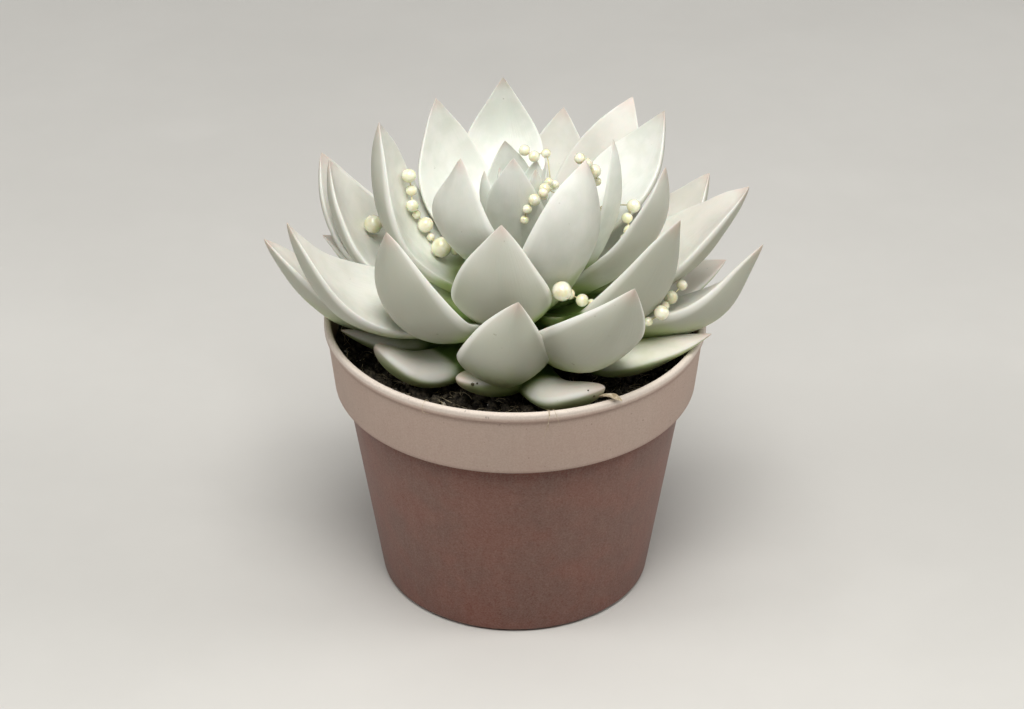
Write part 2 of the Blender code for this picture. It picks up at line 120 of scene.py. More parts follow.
def turns(count: int) -> Array:
    """Angles spread evenly over a full turn, from 0."""
    return np.linspace(0, 2 * np.pi, count, endpoint=False)


def around(radius: Array | float, turn: Array | float, height: Array | float) -> Array:
    """Points by their distance from the upright axis, their direction and their height."""
    return np.stack(np.broadcast_arrays(radius * np.cos(turn), radius * np.sin(turn), height), axis=-1)


def placed(name: str, data: bpy.types.ID) -> bpy.types.Object:
    """Puts a mesh, a light or a camera into the scene.

    Args:
        name: The new object's name.
        data: The mesh, light or camera.

    Returns:
        The object.
    """
    made = bpy.data.objects.new(name, data)
    bpy.context.scene.collection.objects.link(made)
    return made


def rough(points: Array, size: float, octaves: int, seed: int) -> Array:
    """Soft noise of about -1 to 1 in space.

    Each octave is a sum of sine waves in random directions. The next one is half as long and half as high.

    Args:
        points: Places, with x, y and z in the last axis.
        size: The wavelength of the first octave.
        octaves: How many octaves are added.
        seed: Chooses the waves.

    Returns:
        One value for each place.
    """
    rng = np.random.default_rng(seed)
    waves = 10
    total = np.zeros(points.shape[:-1])
    for octave in range(octaves):
        ways = rng.normal(size=(3, waves))
        ways /= np.linalg.norm(ways, axis=0)
        phases = rng.uniform(0, 2 * np.pi, waves)
        angles = points @ ways * (2 * np.pi * 2**octave / size) + phases
        total += 0.5**octave * np.sin(angles).sum(axis=-1) / math.sqrt(waves)
    return total


@dataclass
class Surface:
    """Points with the four-sided and three-sided faces between them, and values kept at each point."""

    points: Array
    quads: Array = field(default_factory=lambda: np.zeros((0, 4), int))
    triangles: Array = field(default_factory=lambda: np.zeros((0, 3), int))
    values: dict[str, Array] = field(default_factory=dict)

    @staticmethod
    def joined(parts: list["Surface"]) -> "Surface":
        """Puts several surfaces into one, each still a closed shell of its own.

        Args:
            parts: The surfaces, all with the same kinds of values.

        Returns:
            One surface that holds them all.
        """
        starts = np.cumsum([0] + [len(part.points) for part in parts[:-1]])
        return Surface(
            np.vstack([part.points for part in parts]),
            np.vstack([part.quads + start for part, start in zip(parts, starts)]),
            np.vstack([part.triangles + start for part, start in zip(parts, starts)]),
            {name: np.concatenate([part.values[name] for part in parts]) for name in parts[0].values},
        )

    def tree(self) -> BVHTree:
        """The faces as a tree that answers where the nearest one is."""
        return BVHTree.FromPolygons(self.points.tolist(), self.quads.tolist() + self.triangles.tolist())

    def piece(self, name: str, *materials: bpy.types.Material) -> bpy.types.Object:
        """Makes a smooth-shaded mesh object of the surface.

        Args:
            name: The object's name.
            materials: Its materials.

        Returns:
            The object, in the scene.
        """
        mesh = bpy.data.meshes.new(name)
        corners = np.concatenate((self.quads.ravel(), self.triangles.ravel())).astype(np.int32)
        sizes = np.concatenate((np.full(len(self.quads), 4), np.full(len(self.triangles), 3)))
        mesh.vertices.add(len(self.points))
        mesh.vertices.foreach_set("co", self.points.astype(np.float32).ravel())
        mesh.loops.add(len(corners))
        mesh.loops.foreach_set("vertex_index", corners)
        mesh.polygons.add(len(sizes))
        mesh.polygons.foreach_set("loop_start", np.concatenate(((0,), np.cumsum(sizes[:-1]))).astype(np.int32))
        mesh.update(calc_edges=True)
        mesh.validate()
        mesh.shade_smooth()
        for key, values in self.values.items():
            layer = mesh.attributes.new(key, "FLOAT", "POINT")
            layer.data.foreach_set("value", values.astype(np.float32))
        for material in materials:
            mesh.materials.append(material)
        return placed(name, mesh)


def ringed(rings: Array, first: Array, last: Array, values: dict[str, Array] | None = None) -> Surface:
    """Closes rings of points into a shell, with a single point past the first ring and past the last.

    Faces run between neighbouring rings, and a fan of triangles closes each end.

    Args:
        rings: Points as rings by sides by 3, each ring turning left as seen from the last ring's end.
        first: The point that closes the first ring.
        last: The point that closes the last ring.
        values: For each name, a value for each ring point, as rings by sides. The ends take their ring's mean.

    Returns:
        The closed surface.
    """
    count, sides = rings.shape[:2]
    index = np.arange(count * sides).reshape(count, sides)
    ahead = np.roll(index, -1, axis=1)
    quads = np.stack((index[:-1], ahead[:-1], ahead[1:], index[1:]), axis=-1).reshape(-1, 4)
    low, high = count * sides, count * sides + 1
    starts = np.stack((np.full(sides, low), ahead[0], index[0]), axis=-1)
    ends = np.stack((np.full(sides, high), index[-1], ahead[-1]), axis=-1)
    kept = {}
    for name, grid in (values or {}).items():
        kept[name] = np.concatenate((grid.ravel(), (grid[0].mean(), grid[-1].mean())))
    return Surface(np.vstack((rings.reshape(-1, 3), first, last)), quads, np.vstack((starts, ends)), kept)


def tube(path: Array, radii: Array, sides: int) -> Surface:
    """A round tube along a path, closed at both ends.

    Each ring stands square to the path. Its first side is carried on from the ring before, so nothing twists.

    Args:
        path: Points along the middle.
        radii: The tube's radius at each point.
        sides: Faces round the tube.

    Returns:
        The closed surface.
    """
    ways = unit(np.gradient(path, axis=0))
    sideways = np.cross(ways[0], UP if abs(ways[0][2]) < 0.9 else np.array((1.0, 0.0, 0.0)))
    across = []
    for way in ways:
        sideways = unit(sideways - np.dot(sideways, way) * way)
        across.append((sideways, np.cross(way, sideways)))
    circle = np.stack((np.cos(turns(sides)), np.sin(turns(sides))), axis=-1)
    rings = path[:, None] + radii[:, None, None] * np.einsum("sk,pkc->psc", circle, np.array(across))
    return ringed(rings, path[0], path[-1])


def curve_through(knots: Array, steps: int) -> Array:
    """A smooth curve through points: between two of them, a cubic with slopes set by their neighbours.

    Args:
        knots: The points that it passes.
        steps: Points on each stretch.

    Returns:
        The curve's points.
    """
    ahead = np.vstack((2 * knots[0] - knots[1], knots, 2 * knots[-1] - knots[-2]))
    a, b, c, d = (ahead[k:len(ahead) - 3 + k, None] for k in range(4))
    u = np.linspace(0, 1, steps, endpoint=False)[None, :, None]
    dense = 0.5 * (2 * b + (c - a) * u + (2 * a - 5 * b + 4 * c - d) * u**2 + (3 * b - 3 * c + d - a) * u**3)
    return np.vstack((dense.reshape(-1, 3), knots[-1:]))


class Graph:
    """A node tree, with short ways to add and wire its nodes."""

    def __init__(self, tree: bpy.types.NodeTree) -> None:
        """Keeps the tree that the nodes go into."""
        self.tree = tree

    def feed(self, socket: Socket, value: Value) -> None:
        """Links a socket to another one, or sets it to a number or a colour.

        Args:
            socket: The socket that is fed.
            value: The other socket, the number or the colour.
        """
        if isinstance(value, Socket):
            self.tree.links.new(value, socket)
        else:
            socket.default_value = value

    def add(self, kind: str, inputs: dict[str | int, Value], **settings: str | bool) -> bpy.types.Node:
        """Adds a node.

        Args:
            kind: The node's type, without ShaderNode in front.
            inputs: What feeds each input, by its name or number.
            settings: The node's own settings.

        Returns:
            The node.
        """
        node = self.tree.nodes.new("ShaderNode" + kind)
        for name, setting in settings.items():
            setattr(node, name, setting)
        for key, value in inputs.items():
            self.feed(node.inputs[key], value)
        return node

    def math(self, operation: str, first: Value, second: Value = 0.0) -> Socket:
        """The result of one sum on two values, kept from 0 to 1 where the operation's name starts with CLAMP."""
        kind, held = operation.removeprefix("CLAMP "), operation.startswith("CLAMP ")
        return self.add("Math", {0: first, 1: second}, operation=kind, use_clamp=held).outputs[0]

    def span(self, value: Value, low: float, high: float, start: float = 0.0, end: float = 1.0) -> Socket:
        """A value's soft rise from start, where it is low, to end, where it is high."""
        inputs = {"Value": value, "From Min": low, "From Max": high, "To Min": start, "To Max": end}
        return self.add("MapRange", inputs, interpolation_type="SMOOTHSTEP").outputs[0]

    def total(self, *parts: Socket | tuple[Value, float]) -> Socket:
        """The sum of some values, each times its weight where it comes with one."""
        terms = [self.math("MULTIPLY", *part) if isinstance(part, tuple) else part for part in parts]
        return reduce(lambda first, second: self.math("ADD", first, second), terms)

    def swing(self, value: Value) -> Socket:
        """How far a noise value lies over or under its middle."""
        return self.math("SUBTRACT", value, 0.5)

    def blend(self, share: Value, first: Value, second: Value) -> Socket:
        """The first colour where the share is 0, going over to the second where it is 1."""
        return self.add("Mix", {0: share, 6: first, 7: second}, data_type="RGBA").outputs[2]

    def noise(self, place: Value, scale: Value, detail: float = 3.0, roughness: float = 0.5) -> Socket:
        """Cloudy noise of about 0.3 to 0.7, with the given number of clouds in a metre."""
        inputs = {"Vector": place, "Scale": scale, "Detail": detail, "Roughness": roughness}
        return self.add("TexNoise", inputs).outputs[0]

    def bump(self, height: Value, strength: Value, distance: float, **under: Socket) -> Socket:
        """A surface that is raised by a height, on another raised one where Normal names it."""
        return self.add("Bump", {"Height": height, "Strength": strength, "Distance": distance, **under}).outputs[0]

    def kept(self, name: str) -> Socket:
        """A value that the surface keeps at its points."""
        return self.add("Attribute", {}, attribute_name=name).outputs["Fac"]

    def place(self) -> Socket:
        """The place on the object, in metres."""
        return self.add("TexCoord", {}).outputs["Object"]

    def stretched(self, place: Value, factors: tuple[float, float, float]) -> Socket:
        """A place with each axis scaled, so that a pattern on it is drawn out along the smaller ones."""
        return self.add("VectorMath", {0: place, 1: factors}, operation="MULTIPLY").outputs[0]

    def height_of(self, vector: Value) -> Socket:
        """The upward part of a vector."""
        return self.add("SeparateXYZ", {0: vector}).outputs["Z"]


class SharedEffects:
    """Shader node groups that more than one finish uses, each built once and set by a place and two numbers."""

    DOT_SHARPNESS = 18.0
    FINER = 4.0
    FINER_HEIGHT = 0.5
    GRAIN_HEIGHT = 0.2 * MM

    @classmethod
    def speckle(cls, graph: Graph, scale: Value, level: Value) -> Socket:
        """Small scattered dots.

        Args:
            graph: The material's graph.
            scale: How many clouds of noise there are in a metre.
            level: Where the noise is cut off, so that only its peaks are left.

        Returns:
            The dots' share, 1 in a dot.
        """
        def fill(inner: Graph, place: Socket, scale: Socket, level: Socket) -> Socket:
            """Cuts the noise off, and sharpens the edges of what is left."""
            above = inner.math("SUBTRACT", inner.noise(place, scale, detail=2.0), level)
            return inner.math("CLAMP MULTIPLY", above, cls.DOT_SHARPNESS)

        return cls._use(graph, "Speckle", fill, "NodeSocketFloat", {"Scale": scale, "Level": level})

    @classmethod
    def grain(cls, graph: Graph, scale: Value, strength: Value) -> Socket:
        """A finely grained surface: a bump from two sizes of noise, the finer one also lower.

        Args:
            graph: The material's graph.
            scale: How many clouds of the larger noise there are in a metre.
            strength: How strong the bump is.

        Returns:
            The surface's direction.
        """
        def fill(inner: Graph, place: Socket, scale: Socket, strength: Socket) -> Socket:
            """Adds the finer noise to the larger one, and raises the bump."""
            fine = inner.noise(place, inner.math("MULTIPLY", scale, cls.FINER), detail=2.0)
            height = inner.total(inner.noise(place, scale, detail=2.0), (fine, cls.FINER_HEIGHT))
            return inner.bump(height, strength, cls.GRAIN_HEIGHT)

        return cls._use(graph, "Grain", fill, "NodeSocketVector", {"Scale": scale, "Strength": strength})

    @staticmethod
    def _use(graph: Graph, name: str, fill: Callable, output: str, inputs: dict[str, Value]) -> Socket:
        """Places a group in a material, and builds it first if it isn't there.

        Args:
            graph: The material's graph.
            name: The group's name.
            fill: Wires the group from its inputs, and gives the socket with its result.
            output: The socket type of its result.
            inputs: What feeds its inputs besides the place.

        Returns:
            The group's output.
        """
        inputs = {"Place": graph.place(), **inputs}
        if name not in bpy.data.node_groups:
            tree = bpy.data.node_groups.new(name, "ShaderNodeTree")
            for label in inputs:
                kind = "NodeSocketVector" if label == "Place" else "NodeSocketFloat"
                tree.interface.new_socket(label, in_out="INPUT", socket_type=kind)
            tree.interface.new_socket("Result", in_out="OUTPUT", socket_type=output)
            given = tree.nodes.new("NodeGroupInput").outputs
            result = fill(Graph(tree), *(given[label] for label in inputs))
            tree.links.new(result, tree.nodes.new("NodeGroupOutput").inputs[0])
        node = graph.tree.nodes.new("ShaderNodeGroup")
        node.node_tree = bpy.data.node_groups[name]
        for label, value in inputs.items():
            graph.feed(node.inputs[label], value)
        return node.outputs[0]


class Shader(Graph):
    """A material's graph, with the Principled shader at its end."""

    def __init__(self, name: str, fixed: dict[str, Value]) -> None:
        """Starts the material.

        Args:
            name: The material's name.
            fixed: Values that are the same all over the surface.
        """
        self.material = bpy.data.materials.new(name)
        self.material.use_nodes = True
        super().__init__(self.material.node_tree)
        self.fed(fixed)

    def fed(self, inputs: dict[str, Value]) -> bpy.types.Material:
        """Feeds the shader.

        Args:
            inputs: What feeds each of its inputs, by name.

        Returns:
            The material.
        """
        for name, value in inputs.items():
            self.feed(self.tree.nodes["Principled BSDF"].inputs[name], value)
        return self.material


@dataclass(frozen=True)
class SprayedLeaf:
    """Leaf finish: a pale satin spray over green, thin where other leaves sheltered it."""

    coat: tuple = ink(238, 240, 233)
    coat_shade: tuple = ink(226, 230, 221)
    coat_warm: tuple = ink(230, 220, 209)
    # painted shade: a darker coat for the down-facing outer faces of older leaves
    painted_under_shade: tuple = ink(184, 185, 169)
    margin: tuple = ink(242, 243, 235)
    green: tuple = ink(176, 190, 134)
    deep_green: tuple = ink(108, 132, 68)
    tip: tuple = ink(206, 174, 160)
    fleck: tuple = ink(120, 112, 84)
    roughness: tuple[float, float] = (0.44, 0.58)
    low_span: tuple[float, float] = (0.118, 0.092)
    sheltered_weight: float = 1.25
    root_weight: float = 0.62
    down_weight: float = 0.30
    low_weight: float = 0.66
    old_weight: float = 0.28
    cloud_weight: float = 0.55
    bare_span: tuple[float, float] = (0.30, 1.30)
    cloud_scale: float = 140.0

    def bareness(self, graph: Graph, facing: Socket, cloud: Socket) -> Socket:
        """Where the green leaf shows through the spray, which came from above.

        It thins out on the lowest leaves, where a leaf is sheltered, at its root, near the soil and where it
        faces down, with a cloudy edge. The green at the root also stands in for painted shade at the leaf bases.

        Args:
            graph: The material's graph.
            facing: How far the surface faces up.
            cloud: The coat's cloudy noise.

        Returns:
            The share of green.
        """
        low = graph.math("MULTIPLY", graph.span(graph.height_of(graph.place()), *self.low_span),
                         graph.span(facing, 0.55, -0.35, 0.15, 1.0))
        return graph.span(graph.total(
            (graph.kept("shelter"), self.sheltered_weight),
            # root term: thinner spray at the leaf base, and also painted shade where the leaves above shade the bases
            (graph.span(graph.kept("along"), 0.50, 0.05), self.root_weight),
            (graph.span(facing, -0.15, -0.85), self.down_weight),
            (low, self.low_weight),
            graph.span(graph.kept("number"), 12.0, 3.0, 0.0, self.old_weight),
            (graph.swing(cloud), self.cloud_weight),
        ), *self.bare_span)

    def material(self) -> bpy.types.Material:
        """Builds the material.

        Painted shade darkens the coat on the down-facing outer faces of older leaves. Old leaves have a warm tone
        towards their tips, margins are paler, and the very tip is pink. Fine streaks run along the leaf, and rare
        flecks lie on it.

        Returns:
            The material.
        """
        graph = Shader("sprayed_leaf", {
            "Subsurface Weight": 0.10, "Subsurface Scale": 1.5 * MM, "Specular IOR Level": 0.32,
        })
        along, number = graph.kept("along"), graph.kept("number")
        cloud = graph.noise(graph.place(), self.cloud_scale, detail=4.0)
        facing = graph.height_of(graph.add("NewGeometry", {}).outputs["Normal"])
        lengthwise = graph.add("CombineXYZ", {
            "X": graph.math("MULTIPLY", graph.kept("across"), 7.0),
            "Y": graph.math("MULTIPLY", along, 1.6),
            "Z": graph.math("MULTIPLY", number, 3.7),
        }).outputs[0]
        streak = graph.noise(lengthwise, 3.0, detail=4.0)
        warm = graph.math("MULTIPLY", graph.kept("warmth"), graph.span(along, 0.25, 0.85, 0.10, 0.75))
        # painted shade: darkens the outer faces of older leaves more the further they face down
        dull = graph.math("MULTIPLY", graph.kept("outer"), graph.span(number, 33.0, 26.0, 0.30, 1.0))
        dull = graph.math("MULTIPLY", dull, graph.span(facing, 0.60, 0.0, 0.3, 1.0))
        living = graph.blend(graph.span(graph.kept("shelter"), 0.40, 0.95), self.green, self.deep_green)
        color = graph.blend(graph.span(cloud, 0.38, 0.66), self.coat, self.coat_shade)
        for share, tone in (
            (warm, self.coat_warm),
            (graph.span(streak, 0.45, 0.75, 0.0, 0.30), self.coat_shade),
            (dull, self.painted_under_shade),
            (graph.span(graph.kept("margin"), 0.90, 1.0, 0.0, 0.6), self.margin),
            (self.bareness(graph, facing, cloud), living),
            (graph.span(along, 0.91, 1.0, 0.0, 0.42), self.tip),
            (graph.math("MULTIPLY", SharedEffects.speckle(graph, scale=420.0, level=0.745), 0.5), self.fleck),
        ):
            color = graph.blend(share, color, tone)
        fine = SharedEffects.grain(graph, scale=900.0, strength=0.10)
        return graph.fed({
            "Base Color": color,
            "Roughness": graph.span(cloud, 0.35, 0.7, *self.roughness),
            "Normal": graph.bump(streak, strength=0.16, distance=0.5 * MM, Normal=fine),
        })


@dataclass(frozen=True)
class DustedPlastic:
    """Pot finish: matt red-brown plastic under pale overspray."""

    plastic: tuple = ink(112, 63, 50)
    plastic_dark: tuple = ink(97, 56, 45)
    dust: tuple = ink(208, 188, 174)
    dust_pale: tuple = ink(228, 216, 204)
    stain: tuple = ink(84, 66, 54)
    height: float = 0.092
    cover: tuple[tuple[float, float], ...] = (
        (0.0, 0.08), (0.30, 0.12), (0.60, 0.14), (0.68, 0.11), (0.715, 0.03), (0.745, 0.0), (0.752, 0.50),
        (0.765, 0.74), (0.95, 0.78), (0.965, 0.50), (0.985, 0.96), (1.0, 0.98),
    )
    haze_weight: float = 0.12
    streak_weight: float = 0.10
    mist_weight: float = 0.45
    roughness: tuple[float, float] = (0.48, 0.80)

    def material(self) -> bpy.types.Material:
        """Builds the material.

        How much of the plastic the overspray covers follows the height: nearly all on the lip, most on the
        collar, hardly any in the shade of the ledge, and a thin haze below. Fine mist, soft clouds and
        faint streaks break it up. Small stains lie over it.

        Returns:
            The material.
        """
        graph = Shader("dusted_plastic", {"Specular IOR Level": 0.35})
        place = graph.place()
        ramp = graph.add("ValToRGB", {0: graph.math("DIVIDE", graph.height_of(place), self.height)})
        stops = ramp.color_ramp.elements
        for spot, _ in self.cover[1:-1]:
            stops.new(spot)
        for stop, (_, cover) in zip(stops, self.cover):
            stop.color = (cover, cover, cover, 1)
        haze = graph.noise(place, 55.0, detail=5.0, roughness=0.6)
        streak = graph.noise(graph.stretched(place, (1.0, 1.0, 0.18)), 420.0, detail=4.0, roughness=0.6)
        mist = graph.noise(place, 1700.0, roughness=0.75)
        weights = ((haze, self.haze_weight), (streak, self.streak_weight), (mist, self.mist_weight))
        broken = graph.total(*((graph.swing(noise), weight) for noise, weight in weights))
        cover = graph.math("CLAMP ADD", ramp.outputs[0], broken)
        body = graph.blend(graph.span(haze, 0.35, 0.65), self.plastic, self.plastic_dark)
        pale = graph.blend(graph.span(ramp.outputs[0], 0.80, 1.0), self.dust, self.dust_pale)
        color = graph.blend(graph.math("MULTIPLY", cover, 0.95), body, pale)
        spots = SharedEffects.speckle(graph, scale=700.0, level=0.71)
        color = graph.blend(graph.math("MULTIPLY", spots, 0.4), color, self.stain)
        fine = SharedEffects.grain(graph, scale=1200.0, strength=0.22)
        return graph.fed({
            "Base Color": color,
            "Roughness": graph.span(cover, 0.0, 1.0, *self.roughness),
            "Normal": graph.bump(streak, strength=0.08, distance=0.3 * MM, Normal=fine),
        })


@dataclass(frozen=True)
class EarthyFinish:
    """A rough natural finish in two colours, for soil, grains, fibres, dry bits and the floor."""

    name: str
    dark: tuple
    light: tuple
    scale: float
    strength: float
    roughness: float = 0.92

    def material(self) -> bpy.types.Material:
        """Builds the material: two colours in clouds, pale speckles, and a coarse grain.

        Returns:
            The material.
        """
        graph = Shader(self.name, {"Roughness": self.roughness, "Specular IOR Level": 0.2})
        cloud = graph.noise(graph.place(), self.scale, detail=6.0, roughness=0.65)
        color = graph.blend(graph.span(cloud, 0.36, 0.68), self.dark, self.light)
        spots = graph.math("MULTIPLY", SharedEffects.speckle(graph, 4 * self.scale, level=0.64), 0.35)
        grain = SharedEffects.grain(graph, self.scale, self.strength)
        return graph.fed({"Base Color": graph.blend(spots, color, self.light), "Normal": grain})


@dataclass(frozen=True)
class PearlFinish:
    """Pearl finish: glossy ivory with soft light inside."""

    light: tuple = ink(252, 249, 226)
    shade: tuple = ink(240, 236, 194)

    def material(self) -> bpy.types.Material:
        """Builds the material: two ivory tones in soft clouds under a clear coat.

        Returns:
            The material.
        """
        graph = Shader("pearl", {
            "Roughness": 0.22, "Coat Weight": 1.0, "Coat Roughness": 0.05, "Subsurface Weight": 0.25,
            "Subsurface Scale": 1.0 * MM, "Specular IOR Level": 0.65,
        })
        cloud = graph.span(graph.noise(graph.place(), 420.0), 0.35, 0.65)
        grain = SharedEffects.grain(graph, scale=1600.0, strength=0.03)
        return graph.fed({"Base Color": graph.blend(cloud, self.light, self.shade), "Normal": grain})


@dataclass(frozen=True)
class CordFinish:
    """Cord finish: a twisted pale thread with a dull golden gleam."""

    light: tuple = ink(222, 214, 174)
    dark: tuple = ink(176, 166, 118)

    def material(self) -> bpy.types.Material:
        """Builds the material: two golden tones in fine bands, as a twisted thread shows them.

        Returns:
            The material.
        """
        graph = Shader("golden_cord", {"Roughness": 0.42, "Metallic": 0.35})
        wave = graph.add("TexWave", {"Vector": graph.place(), "Scale": 700.0, "Distortion": 2.0, "Detail": 2.0})
        twist = wave.outputs["Fac"]
        color = graph.blend(twist, self.dark, self.light)
        return graph.fed({"Base Color": color, "Normal": graph.bump(twist, strength=0.5, distance=0.1 * MM)})


def dressed(piece: bpy.types.Object, slot: Slot, *nodes: str) -> None:
    """Hands a finished piece to the frame.

    Args:
        piece: The piece.
        slot: The record's slot that it is made of; not used.
        nodes: The solids that it stands for.
    """
    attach(piece, "root")
    for node in nodes:
        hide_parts(node)
    LOG.info("%s: %d faces", piece.name, len(piece.data.polygons))


@dataclass(frozen=True)
class Leaf:
    """One leaf's place and measures."""

    number: int
    age: float
    root: Array
    tip: Array
    away: Array
    side: Array
    half_width: float
    thickness: float
    crown: float
    trough: float
    slopes: tuple[float, float]
    reaches: tuple[float, float]
    roll: float
    sweep: float
    blunt: bool
    widest_at: float = 0.48
    root_width: float = 0.52
    keel: float = 0.26
    keel_softness: float = 0.006
    round_crown: float = 2.5 * MM

    def width_share(self, along: Array) -> Array:
        """Half width as a share of its largest: a neck at the root, a full belly, then a point or a blunt end.

        Args:
            along: Places from root to tip, 0 to 1.

        Returns:
            The shares.
        """
        belly = np.sin(0.5 * np.pi * np.clip(along / self.widest_at, 0, 1)) ** 1.3
        before = self.root_width + (1 - self.root_width) * belly
        after = np.clip((along - self.widest_at) / (1 - self.widest_at), 0, 1)
        end = (1 - after**2.6) ** 0.5 if self.blunt else (1 - after**1.9) ** 0.94
        return np.where(along < self.widest_at, before, end)

    def midline(self, along: Array) -> tuple[Array, Array]:
        """The line down the leaf's middle: a cubic curve in the upright plane through root and tip, swept sideways.

        Args:
            along: Places from root to tip, 0 to 1, with a last axis of length 1.

        Returns:
            The points, and the line's unit direction at each.
        """
        end = np.array((np.dot(self.tip - self.root, self.away), self.tip[2] - self.root[2]))
        first, last = (
            share * math.hypot(*end) * np.array((math.cos(slope), math.sin(slope)))
            for share, slope in zip(self.reaches, self.slopes)
        )
        last = end - last
        u = along
        line = 3 * (1 - u) ** 2 * u * first + 3 * (1 - u) * u**2 * last + u**3 * end
        slope = 3 * ((1 - u) ** 2 * first + 2 * (1 - u) * u * (last - first) + u**2 * (end - last))
        middle = self.root + line[..., :1] * self.away + line[..., 1:] * UP
        middle = middle + 3 * u * (1 - u) * self.sweep * self.side
        ahead = slope[..., :1] * self.away + slope[..., 1:] * UP + 3 * (1 - 2 * u) * self.sweep * self.side
        return middle, unit(ahead)

    def surface(self, along: Array, turn: Array) -> Array:
        """Points on the leaf's skin.

        A section is a closed curve: its cosine runs from edge to edge. The upper half lies in a shallow
        trough and rises from round edges to its crown, and the lower half bulges under it to a soft keel.
        A high crown is round all over, a low one flat with rounded edges.

        Args:
            along: Places from root to tip, 0 to 1.
            turn: Angles round the section, 0 at one edge, with the upper face from 0 to pi.

        Returns:
            The points.
        """
        along, turn = np.broadcast_arrays(along, turn)
        middle, ahead = self.midline(along[..., None])
        half = self.half_width * self.width_share(along)
        across, lift = np.cos(turn), np.sin(turn)
        thinning = (1 - along**7) ** 0.5 if self.blunt else (1 - along**4) ** 0.8
        plump = self.thickness * (0.80 + 0.20 * np.sin(np.pi * along)) * thinning
        ridge = 1 - self.keel * np.sqrt(across**2 + self.keel_softness)
        roundness = 2 if self.crown > self.round_crown else 6
        crown = self.crown * thinning * np.sqrt(1 - np.abs(across) ** roundness)
        height = self.trough * half * across**2 + np.where(lift > 0, crown, plump * ridge * lift)
        level = unit(self.side - (ahead @ self.side)[..., None] * ahead)
        upward = np.cross(ahead, level)
        side = math.cos(self.roll) * level + math.sin(self.roll) * upward
        normal = math.cos(self.roll) * upward - math.sin(self.roll) * level
        return middle + (half * across)[..., None] * side + height[..., None] * normal


@dataclass(frozen=True)
class Habit:
    """How one leaf departs from what its age gives it, with lengths in mm and angles in degrees."""

    width: float | None = None
    thickness: float | None = None
    crown: float | None = None
    root_rise: float | None = None
    slopes: tuple[float, float] | None = None
    reaches: tuple[float, float] = (0.58, 0.34)
    sweep: float = 0.0
    roll: float | None = None
    blunt: bool = False


